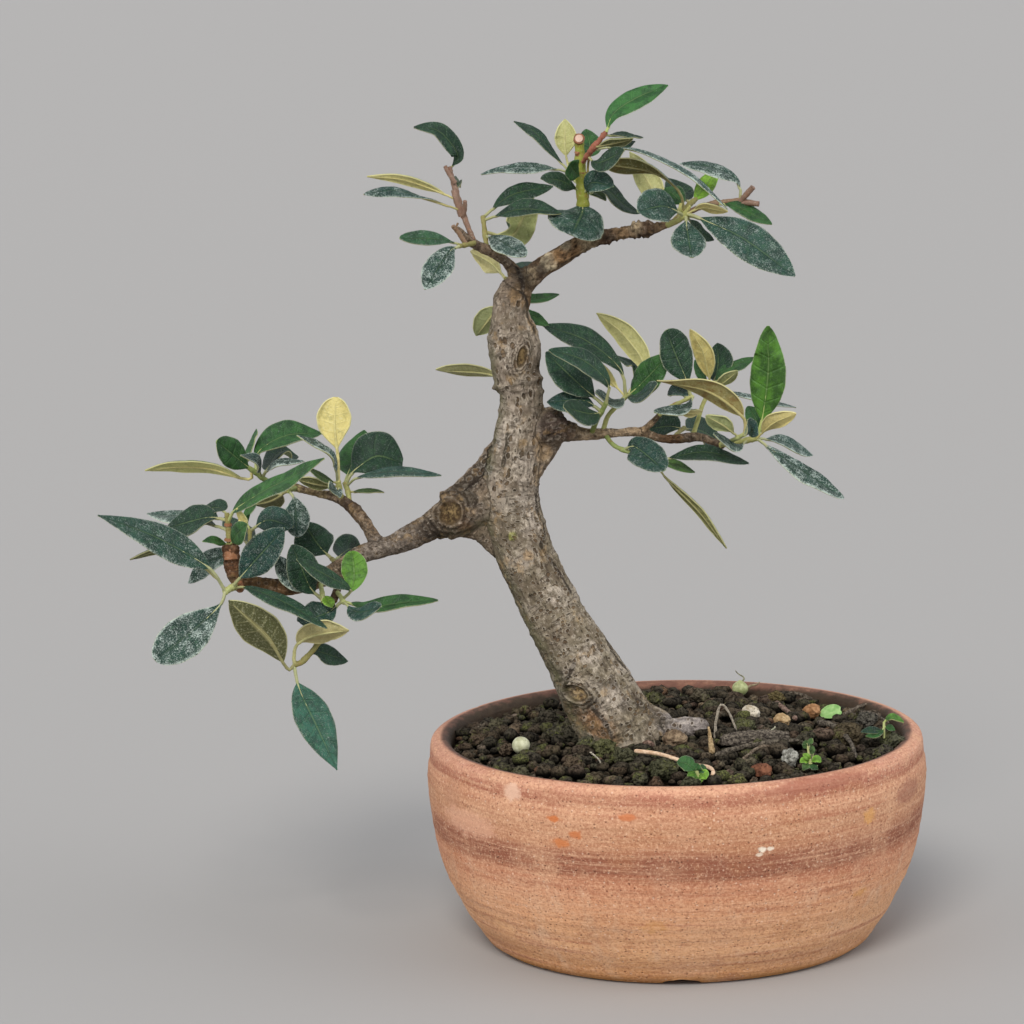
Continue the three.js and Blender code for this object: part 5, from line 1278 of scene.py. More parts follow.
        [(722, 444, 9), (733, 440, 2), (745, 434, -2)], [1.1, 0.9], "pale",
        leaf("amber", 12.5, -4, -36, [(745, 434), (742, 415), (708, 389), (657, 380)], rust=0.55, widest=0.42,
             twist=45, wave=0.03),
        leaf("pale", 8, -4, -45, [(739, 438), (725, 425), (706, 415)]),
        leaf("teal", 7, -8, 50, [(745, 435), (752, 430), (748, 420)]),
    ),
    "right_shoot_7": shoot(
        [(606, 436, 4), (615, 446, 0), (634, 454, -2), (654, 462, -3)], [1.1, 0.9], "green",
        leaf("teal", 12.5, -16, 70, [(624, 449), (634, 446), (648, 455), (664, 470)], stalk=0.1, blunt=0.45),
        leaf("olive", 5, -2, -35, [(653, 462), (668, 479), (700, 511), (727, 548)], widest=0.45),
        leaf("dark", 9, 6, 40, [(654, 462), (676, 456), (708, 451), (749, 463)]),
        leaf("pale", 6, 8, 40, [(653, 462), (676, 464), (695, 472)]),
    ),
    "right_shoot_8": shoot(
        [(672, 440, 12), (678, 433, 18), (684, 428, 22)], [1.1, 0.9], "olive",
        leaf("dark", 13, 6, 55, [(683, 429), (668, 425), (645, 429)], stalk=0.06),
        leaf("dark", 13, 20, 50, [(684, 428), (702, 430), (724, 444)], stalk=0.06),
    ),
}


# stubs, old leaf scars and cut faces on the young stems: places with depths, radii in mm and tint
twigs = {
    "crown_shoot_1": [([(463, 218, -6), (465, 208, -8), (465, 201, -9)], (0.8, 0.75), "pink"),
                      ([(455, 183, -5), (448, 172, -5), (445, 166, -5)], (0.9, 0.7), "pink"),
                      ([(462, 216, -6), (457, 201, -6), (454, 190, -5)], (1.25, 1.05), "pink")],
    "crown_shoot_2": [([(466, 244, -13), (458, 232, -13), (453, 226, -14)], (0.9, 0.8), "wood"),
                      ([(455, 229, -14), (458, 223, -14)], (0.5, 0.25), "wood")],
    "crown_shoot_5": [([(579.4, 143, 3), (579, 140, 2), (579, 138.5, 0.6)], (1.7, 1.95), "scar"),
                      ([(579, 138.6, 0.5), (579, 138.4, 0.1)], (1.4, 1.35), "cut"),
                      ([(581, 174, 2.6), (581, 172, 2.6)], (2.0, 2.0), "scar"),
                      ([(582, 190, 2.8), (582, 188.6, 2.8)], (2.05, 2.0), "scar"),
                      ([(578, 154, 1.6), (577, 152, 1.0)], (1.1, 0.9), "scar"),
                      ([(590, 154, -1), (588, 166, 0), (588, 184, 0), (588, 198, 1)], (0.45, 0.4), "olive")],
    "crown_shoot_8": [([(680, 218, -3), (686, 212, -6), (690, 206, -7)], (1.0, 0.5), "yellow"),
                      ([(684, 215, -4), (692, 216, -7), (700, 219, -8)], (0.9, 0.5), "yellow"),
                      ([(682, 214, -4), (680, 209, -6), (681, 203, -6)], (0.8, 0.5), "yellow")],
    "crown_shoot_10": [([(740, 202, 3), (746, 195, 2), (753, 187, 1)], (0.9, 1.05), "pink"),
                       ([(742, 203, 3), (750, 203, 1), (759, 204, 0)], (0.9, 1.0), "pink"),
                       ([(744, 203, 3), (738, 207, 2)], (1.1, 0.9), "pink")],
    "left_shoot_5": [([(231, 560, -20), (230, 549, -19)], (2.5, 2.0), "scar"),
                     ([(229, 541, -18), (229, 538, -18)], (1.7, 1.5), "scar"),
                     ([(228, 526, -18), (228, 523, -18)], (1.35, 1.3), "scar")],
    "left_shoot_6": [([(241, 586, -20), (237, 587, -21)], (2.2, 2.0), "scar")],
}


def bladeShape(t, widest=0.5, blunt=0.68, heel=0.95):
    # half the blade's width at t along it: it narrows slowly to the stalk and more bluntly to the tip
    return math.sin(math.pi * t ** (math.log(0.5) / math.log(widest))) ** (heel + (blunt - heel) * t)


def bladeNormal(along, face):
    # the direction that the top side faces: edge-on at 0, its top to the viewer at 90, its underside at -90
    near = (toViewer - along * toViewer.dot(along)).normalized()
    over = along.cross(near)
    if over.z < 0:
        over.negate()
    cosFace, sinFace = turned(face)
    return over * cosFace + near * sinFace


def midrib(blade, stem):
    # from the nearest point of the stem through the leaf's places, drifting away to its tip
    px, py = blade["path"][0]
    best = None
    for a, b in zip(stem, stem[1:]):
        run = (b[0] - a[0]) ** 2 + (b[1] - a[1]) ** 2
        t = min(max(((px - a[0]) * (b[0] - a[0]) + (py - a[1]) * (b[1] - a[1])) / run, 0), 1)
        point = [a[k] + (b[k] - a[k]) * t for k in range(3)]
        far = math.hypot(point[0] - px, point[1] - py)
        if best is None or far < best[0]:
            best = (far, point)
    far, root = best
    places = [tuple(root[:2])] + list(blade["path"] if far > 4 else blade["path"][1:])
    runs = [0]
    for a, b in zip(places, places[1:]):
        runs.append(runs[-1] + math.dist(a, b))
    drift = foliage["spread"] * blade["away"]
    return [atDepth(x, y, root[2] + drift * (run / runs[-1]) ** 0.85) for (x, y), run in zip(places, runs)]


def flatBlade():
    long, wide = foliage["cells"]
    bpy.ops.mesh.primitive_grid_add(x_subdivisions=long, y_subdivisions=wide, size=2)
    blade = named(bpy.context.object, "blade_pattern")
    blade.data.uv_layers[0].name = "leafMap"
    return blade


def makeLeaf(pattern, blade, line, rng):
    # the blade is the pattern laid along the midrib, folded, puckered between its veins and waved at its edge
    obj = added("blade", pattern.data.copy())
    places, tangents = evenLine(line, 61)
    stalk = blade["stalk"]
    fold = blade.get("fold", foliage["fold"]) + rng.uniform(-3, 3)
    wave = blade.get("wave", rng.uniform(0.03, 0.11))
    phase = rng.uniform(0, 6.3)
    cup = blade.get("cup", rng.uniform(-0.08, 0.08))
    twist = blade.get("twist", rng.uniform(-10, 10))
    curl = blade.get("curl", rng.uniform(0.12, 0.30))
    widestAt = blade.get("widest", rng.uniform(0.44, 0.54))
    blunt = blade.get("blunt", rng.uniform(0.60, 0.78))
    heel = blade.get("heel", 0.95)
    ripple = rng.uniform(6, 9)
    uneven = rng.uniform(-0.06, 0.06)
    widest = blade["width"] / 2 * mm
    points = readPoints(obj)
    for i, (x, y, _) in enumerate(points):
        u = (x + 1) / 2
        t = 0.45 * u + 0.55 * (0.5 - 0.5 * math.cos(math.pi * u))
        at = (stalk + (1 - stalk) * t) * 60
        low = min(int(at), 59)
        centre = places[low].lerp(places[low + 1], at - low)
        along = tangents[low].lerp(tangents[low + 1], at - low).normalized()
        normal = bladeNormal(along, blade["face"] + twist * (t - 0.3))
        half = max(widest * bladeShape(min(max(t, 0.006), 0.994), widestAt, blunt, heel), 0.3 * mm)
        bend = math.sqrt(y * y + 0.010) - 0.10
        lift = half * math.tan(math.radians(fold)) * (bend - 0.5)
        lift += half * cup * y * y - half * curl * (max(abs(y) - 0.68, 0) / 0.32) ** 1.6
        edge = math.sin(t * ripple + phase + (1.4 if y > 0 else 0))
        edge += 0.25 * math.sin(t * ripple * 2.3 + phase)
        lift += half * wave * edge * y * y
        vein = (t * foliage["veins"] - abs(y) * foliage["veinSlant"]) % 1
        hump = math.sin(math.pi * vein) ** 0.6 * min(half / widest, 1) * (1 - y ** 8)
        lift += foliage["pucker"] * mm * hump
        half *= 1 + 0.012 * math.sin(t * ripple * 4 + phase) * abs(y) + (uneven if y > 0 else -uneven)
        points[i] = centre - along.cross(normal) * (y * half) + normal * lift
    writePoints(obj, points)
    top, under, frost = leafTints[blade["tint"]]
    shade = rng.uniform(0.86, 1.16)
    hue = rng.uniform(-0.06, 0.06)
    tone = [c * shade * (1 + turn) for c, turn in zip(top, (hue, 0, -hue))]
    setColours(obj, "leafTop", [*tone, frost])
    setColours(obj, "leafUnder", [*(c * rng.uniform(0.92, 1.08) for c in under), blade.get("rust", 0)])
    rib = makeRib(blade, places, tangents, under, fold, (widestAt, blunt, heel), twist)
    return obj, rib


def makeRib(blade, places, tangents, under, fold, shape, twist):
    # leaf stalk and midrib: it stands out under the blade and thins to the tip
    stalk = blade["stalk"]
    widest = blade["width"] / 2 * mm
    points = []
    radii = []
    for i in range(0, 57, 2):
        share = i / 60
        t = max(0, (share - stalk) / (1 - stalk))
        normal = bladeNormal(tangents[i], blade["face"] + twist * (t - 0.3))
        sunk = widest * bladeShape(min(max(t, 0.001), 0.99), *shape) * math.tan(math.radians(fold)) * 0.5
        drop = sunk + (0.28 + 0.17 * (1 - t)) * mm if t > 0 else 0.15 * mm
        points.append(places[i] - normal * drop)
        slim = foliage["ribRadius"] * (1 - t) ** 0.8 + foliage["ribEnd"]
        size = min(max(widest / (5 * mm), 0.7), 1.15)
        stout = foliage["stalkRadius"] + 0.1 * (1 - share / stalk)
        radii.append((slim if t > 0 else stout) * size * mm)
    rib = tube("rib", points, radii, foliage["ribSides"])
    tone = [0.6 * c + 0.4 * y for c, y in zip(under, (0.55, 0.50, 0.22))]
    setColours(rib, "stemTone", [*tone, 0.25])
    return rib


def roughTube(name, line, radii, tint, sides):
    # a young stem with its down, scales or flaking skin
    tone, spotted, rough = stemTints[tint]
    obj = tube(name, line, radii, sides)
    points = readPoints(obj)
    normals = readNormals(obj)
    high = np.array([noise.noise(Vector(point) / (0.55 * mm)) + 0.5 * noise.noise(Vector(point) / (1.7 * mm))
                     for point in points])
    writePoints(obj, points + normals * (high * rough * 1.3 * max(radii))[:, None])
    setColours(obj, "stemTone", [*tone, spotted])
    return obj


def makeTwig(places, radii, tint):
    count = 16
    return roughTube("twig", limbPoints(places, count), limbRadii(radii, count), tint, foliage["stemSides"])


def makeStem(plan, stem, rng):
    count = max(24, 12 * len(stem))
    line = limbPoints(stem, count)
    radii = limbRadii([radius * (0.78 if radius < 1.6 else 1) for radius in plan["radii"]], count)
    roots = [midrib(blade, stem)[0] for blade in plan["leaves"]]
    for i, point in enumerate(line):
        node = max((math.exp(-((point - root).length / (1.2 * mm)) ** 2) for root in roots), default=0)
        radii[i] *= 1 + 0.28 * node + rng.uniform(-0.05, 0.05)
    return roughTube("stem", line, radii, plan["tint"], foliage["stemSides"])


def makeBlades(made, name):
    blades = joined(made, name)
    blades.data.materials.append(leafTop)
    blades.data.materials.append(leafUnder)
    modified(blades, "SOLIDIFY", thickness=foliage["thick"] * mm, offset=-1, use_even_offset=False,
             material_offset=1, material_offset_rim=1)
    finished(smooth(blades, 60), None, "leaf")


def makeShoot(name, plan, pattern, rng):
    start = plan["stem"][0][2]
    stem = [(px, py, start + foliage["spread"] * (depth - start)) for px, py, depth in plan["stem"]]
    made = [makeLeaf(pattern, blade, midrib(blade, stem), rng) for blade in plan["leaves"]]
    makeBlades([blade for blade, _ in made], name + "_leaves")
    wands = [makeStem(plan, stem, rng)] + [rib for _, rib in made]
    wands += [makeTwig(*twig) for twig in twigs.get(name, [])]
    finished(smooth(joined(wands, name + "_stem")), stemSkin, "leaf", name)


def veins(finish):
    # how far along the blade, how far out from its midrib, and how near to a side vein; these curve forward
    u, w, _ = finish.parts(finish.node("UVMap", {"uv_map": "leafMap"}))
    v = abs(w * 2 - 1)
    vein = u * foliage["veins"] - v * foliage["veinSlant"]
    return u, v, abs(vein.maths("FRACT", vein) - 0.5) * 2


def leafTopFinish():
    top = Finish("leaf_top", Roughness=0.5, Specular_IOR_Level=0.24)
    u, v, ripple = veins(top)
    spot = top.place()
    base = top.attribute("leafTop")
    frost = top.attribute("leafTop", "Alpha")
    cloud = top.noise(spot, 4.5, 4, 0.65)
    dark = top.mix(0.6, base, (0.004, 0.014, 0.009))
    light = top.mix(0.24, base, (0.085, 0.20, 0.075))
    colour = top.wash(dark, base, cloud, 0.38, 0.60)
    colour = top.wash(colour, light, top.noise(spot, 2.2, 4, 0.7), 0.50, 0.66, 0.7)
    # the side veins lie in grooves, and the midrib is a pale line in a dark groove
    groove = top.step(ripple, 0.78, 0.98) * top.step(v, 0.98, 0.75)
    grooveTone = top.mix(frost, top.mix(0.5, base, (0.16, 0.30, 0.12)), dark)
    colour = top.mix(groove * (0.15 + frost * 0.2), colour, grooveTone)
    trough = top.step(v, 0.14, 0.05)
    colour = top.mix(trough * 0.55, colour, dark)
    middle = top.step(v, 0.050, 0.022) * top.step(u, 0.98, 0.55)
    colour = top.mix(middle * (0.42 - frost * 0.30), colour, (0.17, 0.25, 0.09))
    # pale hairs: scattered, in patches on the humps between the veins, and thick at the edge and the tip
    hairs = top.noise(top.warped(spot, 0.4, 1.4), 0.48, 4, 0.85)
    patchy = top.noise(spot, 3.0, 4, 0.7)
    rim = top.step(v, 0.80, 0.99)
    tip = top.step(u, 0.86, 1.0)
    level = frost * 0.055 + top.step(patchy, 0.42, 0.66) * frost * 0.10 + (1 - ripple) * frost * 0.03
    level = level + rim * (0.02 + frost * 0.10) + tip * frost * 0.08 - trough * 0.06
    hairy = top.step(hairs + level, 0.58, 0.70)
    colour = top.mix(hairy * (0.28 + frost * 0.50), colour, (0.46, 0.54, 0.49))
    colour = top.mix(top.step(v, 0.94, 1.0) * top.step(hairs, 0.40, 0.52) * 0.7, colour, (0.50, 0.53, 0.36))
    top.set("Roughness", (0.40 + hairy * 0.4 + cloud * 0.2).clamped())
    height = groove * -0.7 + hairy * 0.5 + hairs * 0.5 - trough * 0.5 + cloud * 0.5
    return top.done(colour, height, 0.32, 0.85)


def leafUnderFinish():
    under = Finish("leaf_underside", Roughness=0.75, Specular_IOR_Level=0.3)
    u, v, ripple = veins(under)
    spot = under.place()
    base = under.attribute("leafUnder")
    rust = under.attribute("leafUnder", "Alpha")
    cloud = under.noise(spot, 3.6, 5, 0.7)
    colour = under.wash(base, under.mix(0.6, base, (0.07, 0.085, 0.025)), cloud, 0.50, 0.36, 0.5)
    line = under.step(ripple, 0.80, 0.97) * under.step(v, 0.95, 0.6)
    colour = under.mix(line * 0.22, colour, under.mix(0.5, base, (0.66, 0.62, 0.32)))
    felt = under.noise(spot, 0.8, 5, 0.85)
    colour = under.wash(colour, (0.58, 0.58, 0.38), felt, 0.52, 0.64, 0.4)
    colour = under.wash(colour, under.mix(0.7, base, (0.05, 0.055, 0.018)), felt, 0.48, 0.38, 0.3)
    middle = under.step(v, 0.16, 0.04) * under.step(u, 1.0, 0.2)
    colour = under.mix(middle * 0.55, colour, (0.64, 0.57, 0.27))
    stain = under.step(under.noise(spot, 3.5, 4, 0.65), 0.47, 0.62) * rust
    colour = under.mix(stain, colour, (0.20, 0.085, 0.02))
    colour = under.wash(colour, (0.56, 0.54, 0.28), v, 0.93, 1.0, 0.6)
    return under.done(colour, line * 0.35 + felt * 0.5 + cloud * 0.4, 0.28, 0.8)


def stemFinish():
    stem = Finish("stem_skin", Roughness=0.6, Specular_IOR_Level=0.35)
    spot = stem.place()
    base = stem.attribute("stemTone")
    spotted = stem.attribute("stemTone", "Alpha")
    cloud = stem.noise(spot, 2.6, 4, 0.65)
    colour = stem.wash(base, stem.mix(0.5, base, (0.05, 0.045, 0.015)), cloud, 0.4, 0.7, 0.5)
    spots = stem.step(stem.noise(spot, 1.6, 3, 0.6), 0.55, 0.75)
    colour = stem.mix(spots * spotted, colour, (0.26, 0.10, 0.035))
    down = stem.noise(spot, 0.6, 3, 0.7)
    colour = stem.wash(colour, (0.60, 0.60, 0.45), down, 0.55, 0.8, 0.45)
    return stem.done(colour, down + cloud, 0.2, 0.6)


leafTop = leafTopFinish()
leafUnder = leafUnderFinish()
stemSkin = stemFinish()
bladePattern = flatBlade()
leafRandom = random.Random(11)
for shootName, shootPlan in shoots.items():
    makeShoot(shootName, shootPlan, bladePattern, leafRandom)
print("shoots grown:", len(shoots))


# Soil

soil = {"edge": 71.4, "mound": 5, "rough": 1.3, "reach": 82.3, "bedDrop": 4.2, "steps": 160, "spacing": 3.9,
        "small": (2.4, 4.6), "big": (4.4, 7.6), "bigOnes": 420, "bigSpread": 80, "shapes": 9,
        "lumps": 0.32, "darkening": 0.6, "wallGap": 81.2, "field": 84, "seed": 4}
# share of the grains, colour and how mossy they are
grainKinds = {
    "black": (0.40, (0.012, 0.011, 0.010), 0.1),
    "brown": (0.28, (0.070, 0.044, 0.028), 0.2),
    "mossy": (0.17, (0.040, 0.043, 0.024), 1.0),
    "rust": (0.05, (0.140, 0.062, 0.034), 0.05),
    "tan": (0.10, (0.24, 0.175, 0.120), 0.1),
}


def soilHeight(x, y):
    share = min(1, math.hypot(x, y) / soil["reach"])
    bumps = math.sin(0.21 * x + 1) * math.cos(0.17 * y) + 0.6 * math.sin(0.43 * x - 0.31 * y)
    return soil["edge"] + soil["mound"] * (1 - share ** 2) + soil["rough"] * bumps * (1 - share ** 6)


def onSoil(px, py, above=0):
    # the place on the soil that is seen there, raised by mm
    seat = atHeight(px, py, soil["edge"] + soil["mound"] / 2) - potAxis
    seat.z = (soilHeight(seat.x / mm, seat.y / mm) + above) * mm
    return seat + potAxis


def insideOf(tree, point, depth):
    found, normal, _, away = tree.find_nearest(point)
    return (point - found).dot(normal) < 0 and away > depth


def makeBed():
    base = 10.3
    outline = [(0.05, base), (30, base), (61.4, base), (69.5, 15.8), (76.1, 28.7), (80.1, 43),
               (81.5, 60.7), (81, 69)]
    outline += [(80.5 - 80.45 * i / 34, 70) for i in range(35)]
    bed = spun("soil_bed", outline, soil["steps"])
    points = readPoints(bed)
    for i, (x, y, z) in enumerate(points / mm):
        if z > 69.5:
            lump = noise.fractal(Vector((x, y, 3)) / 3.2, 1, 2, 4)
            points[i, 2] = (soilHeight(x, y) - soil["bedDrop"] + 0.7 * lump) * mm
    writePoints(bed, points)
    bed.data.transform(Matrix.Translation(potAxis))
    finished(smooth(bed), earthFinish(), "grit", "soil")


def lumpyBall(index, subdivisions=2, rough=None):
    bpy.ops.mesh.primitive_ico_sphere_add(subdivisions=subdivisions, radius=0.5)
    ball = bpy.context.object
    points = readPoints(ball)
    rough = soil["lumps"] if rough is None else rough
    for i, point in enumerate(points):
        direction = Vector(point).normalized()
        lump = noise.noise(direction * 1.4 + Vector((index * 7.3, 2, 5)))
        lump += 0.45 * noise.noise(direction * 3.4 + Vector((3, index * 5.1, 1)))
        points[i] = direction * 0.5 * (1 + rough * lump)
    writePoints(ball, points)
    return ball


def grainPlaces(rng, wood, clear):
    # an uneven lattice of small grains, and big ones anywhere on them
    places = []
    step = soil["spacing"]
    field = soil["field"]
    row = 0
    y = -field
    while y < field:
        x = -field + (row % 2) * step / 2
        while x < field:
            places.append((x + rng.uniform(-0.4, 0.4) * step, y + rng.uniform(-0.4, 0.4) * step,
                           rng.uniform(*soil["small"])))
            x += step
        y += step * 0.87
        row += 1
    for _ in range(soil["bigOnes"]):
        turn = rng.uniform(0, 2 * math.pi)
        away = soil["bigSpread"] * math.sqrt(rng.random())
        places.append((away * math.cos(turn), away * math.sin(turn), rng.triangular(*soil["big"], 5.4)))
    kept = []
    for x, y, size in places:
        if math.hypot(x, y) + size * 0.42 > soil["wallGap"]:
            continue
        if any(math.hypot(x - cx, y - cy) < radius + size * 0.25 for cx, cy, radius in clear):
            continue
        sunk = 0.34 * size + rng.uniform(-0.2, 1.2) if size < 4.8 else 0.02 * size + rng.uniform(-0.6, 0.5)
        centre = Vector((x, y, soilHeight(x, y) - sunk)) * mm + potAxis
        if not insideOf(wood, centre, 0.8 * mm):
            kept.append((centre, size * mm))
    return kept


def makeHeap(kind, heap, shapes, rng):
    # one mesh for all the grains of a kind, with each one's tone and how low each point lies on its grain,
    # for painted shade on the grain's lower side
    _, colour, mossy = grainKinds[kind]
    points = []
    faces = []
    tones = []
    lowSideShade = []
    start = 0
    for centre, size in heap:
        corners, sides = shapes[rng.randrange(len(shapes))]
        spin = Matrix.Rotation(rng.uniform(0, 6.28), 3, "Z")
        spin = spin @ Matrix.Rotation(rng.uniform(0, 6.28), 3, "X")
        scale = np.array([size * rng.uniform(*span) for span in ((0.85, 1.25), (0.8, 1.1), (0.65, 0.95))])
        grain = (corners @ np.array(spin).T) * scale + np.array(centre)
        points.append(grain)
        faces.append(sides + start)
        start += len(grain)
        # grains grow darker towards the right of the bowl, by the share given in the soil table
        rightward = max(0, (centre - potAxis).x / (soil["field"] * mm))
        bright = rng.triangular(0.25, 1.9, 0.6) * (1 - soil["darkening"] * rightward)
        tone = [c * bright * rng.uniform(0.9, 1.12) for c in colour]
        tones.append(np.tile([*tone, mossy * rng.uniform(0.4, 1.2)], (len(grain), 1)))
        # the lower side of each grain gets painted shade
        high = (grain[:, 2] - centre.z) / (0.42 * size)
        lowSideShade.append(np.clip(0.50 - high * 0.85, 0, 1))
    mesh = bpy.data.meshes.new("grains")
    mesh.from_pydata(np.concatenate(points).tolist(), [], np.concatenate(faces).tolist())
    pile = named(added("grains", mesh), "grains_" + kind)
    setColours(pile, "grainTone", np.concatenate(tones))
    setColours(pile, "grainDepth", np.repeat(np.concatenate(lowSideShade)[:, None], 4, axis=1))
    finished(smooth(pile), grit, "grit")


def makeGrains(wood, clear):
    rng = random.Random(soil["seed"])
    shapes = []
    for i in range(soil["shapes"]):
        ball = lumpyBall(i)
        shapes.append((readPoints(ball), np.array([face.vertices[:] for face in ball.data.polygons])))
        bpy.data.objects.remove(ball)
    kinds = list(grainKinds)
    shares = [share for share, _, _ in grainKinds.values()]
    heaps = {kind: [] for kind in kinds}
    for grain in grainPlaces(rng, wood, clear):
        heaps[rng.choices(kinds, shares)[0]].append(grain)
    for kind, heap in heaps.items():
        makeHeap(kind, heap, shapes, rng)


def earthFinish():
    earth = Finish("dark_earth", Roughness=0.95, Specular_IOR_Level=0.05)
    spot = earth.place()
    crumb = earth.noise(spot, 1.6, 5, 0.7)
    colour = earth.wash((0.008, 0.006, 0.004), (0.045, 0.03, 0.018), crumb, 0.35, 0.7)
    return earth.done(colour, crumb, 1.2, 0.9)


def grainFinish():
    grain = Finish("grit_grains", Roughness=0.9, Specular_IOR_Level=0.05)
    spot = grain.place()
    base = grain.attribute("grainTone")
    mossy = grain.attribute("grainTone", "Alpha")
    rough = grain.noise(spot, 1.3, 5, 0.75)
    pores = grain.cells(spot, 0.75)
    shade = grain.mix(0.85, base, (0.004, 0.003, 0.002))
    light = grain.mix(0.20, base, (0.44, 0.37, 0.26))
    colour = grain.wash(shade, light, rough, 0.38, 0.60)
    colour = grain.wash(colour, (0.006, 0.004, 0.003), pores, 0.28, 0.1, 0.6)
    patch = grain.noise(spot, 11, 4, 0.6) + (grain.noise(spot, 1.1, 4, 0.75) - 0.5) * 0.7
    fine = grain.step(grain.noise(spot, 0.55, 4, 0.8), 0.40, 0.62)
    moss = grain.mix(fine, (0.008, 0.011, 0.003), (0.25, 0.26, 0.09))
    colour = grain.wash(colour, moss, patch + mossy * 0.2, 0.62, 0.80, 0.85)
    chalk = grain.noise(spot, 0.9, 5, 0.85)
    colour = grain.wash(colour, (0.46, 0.44, 0.34), chalk, 0.60, 0.70, 0.5)
    # painted shade on the lower side of each grain, darkening the gaps between grains
    deep, _, _ = grain.parts(grain.attribute("grainDepth"))
    colour = grain.mix((deep * 0.95 + 0.30).clamped(), colour, (0.003, 0.0025, 0.002))
    return grain.done(colour, rough - grain.step(pores, 0.28, 0.05) * 0.4, 0.9, 0.9)


grit = grainFinish()
makeBed()

# Things in and on the soil

# place in the picture, size in mm, how far it is sunk, two colours, how lumpy it is and its slot
stones = {
    "round_pellet": ((521, 751), (6.4, 6.4, 6.2), 0.1, (0.36, 0.36, 0.22), (0.56, 0.56, 0.39), 0.03,
        "pale_stone"),
    "tan_stone": ((675, 746), (8.8, 8.0, 7.0), 0.3, (0.10, 0.065, 0.04), (0.30, 0.22, 0.14), 0.24,
        "tan_stone"),
    "white_stone": ((750, 720), (7.0, 6.6, 5.8), 0.2, (0.34, 0.28, 0.19), (0.68, 0.62, 0.50), 0.2,
        "pale_stone"),
    "ochre_stone": ((782, 728), (6.4, 6.4, 4.6), 0.3, (0.30, 0.19, 0.09), (0.50, 0.36, 0.20), 0.26,
        "tan_stone"),
    "orange_stone": ((812, 717), (6.8, 6.2, 5.0), 0.35, (0.22, 0.105, 0.045), (0.40, 0.22, 0.11), 0.26,
        "red_stone"),
    "red_stone": ((761, 769), (7.4, 6.6, 5.4), 0.35, (0.085, 0.032, 0.018), (0.24, 0.10, 0.055), 0.24,
        "red_stone"),
    "grey_stone": ((790, 763), (5.4, 5.6, 6.6), 0.15, (0.13, 0.125, 0.105), (0.44, 0.43, 0.38), 0.34,
        "pale_stone"),
}


def makeStone(name, index):
    (px, py), size, sunk, dark, pale, rough, slotName = stones[name]
    ball = lumpyBall(index + 20, 5, rough)
    points = readPoints(ball)
    for i, point in enumerate(points):
        grainy = noise.fractal(Vector(point) * 9 + Vector((index, 0, 4)), 0.9, 2.1, 3)
        points[i] = point * (1 + 0.22 * rough * grainy)
    seat = onSoil(px, py, size[2] * (0.5 - sunk))
    writePoints(ball, points * np.array(size) * mm + np.array(seat))
    pitted = rough > 0.1
    skin = Finish(name + "_skin", Roughness=0.85 if pitted else 0.45, Specular_IOR_Level=0.15)
    spot = skin.place(seat)
    cloud = skin.noise(spot, 2.4, 5, 0.65)
    colour = skin.wash(dark, pale, cloud, 0.35, 0.65)
    pores = skin.step(skin.cells(spot, 0.9), 0.3, 0.08)
    grainy = skin.noise(spot, 0.7, 4, 0.75)
    colour = skin.mix(pores * (0.7 if pitted else 0.15), colour, tuple(c * 0.3 for c in dark))
    colour = skin.wash(colour, pale, grainy, 0.55, 0.8, 0.4)
    material = skin.done(colour, grainy - pores, 0.5 if pitted else 0.12, 0.8)
    finished(smooth(named(ball, name + "_shape")), material, slotName, name)


def soilPath(places):
    return [onSoil(*place) for place in places]


def uprightPath(places):
    # a thing that stands in the soil: all of it is as far away as its lowest place
    depth = (onSoil(*max(places, key=lambda place: place[1])).y - potAxis.y) / mm
    return [atDepth(px, py, depth) for px, py in places]


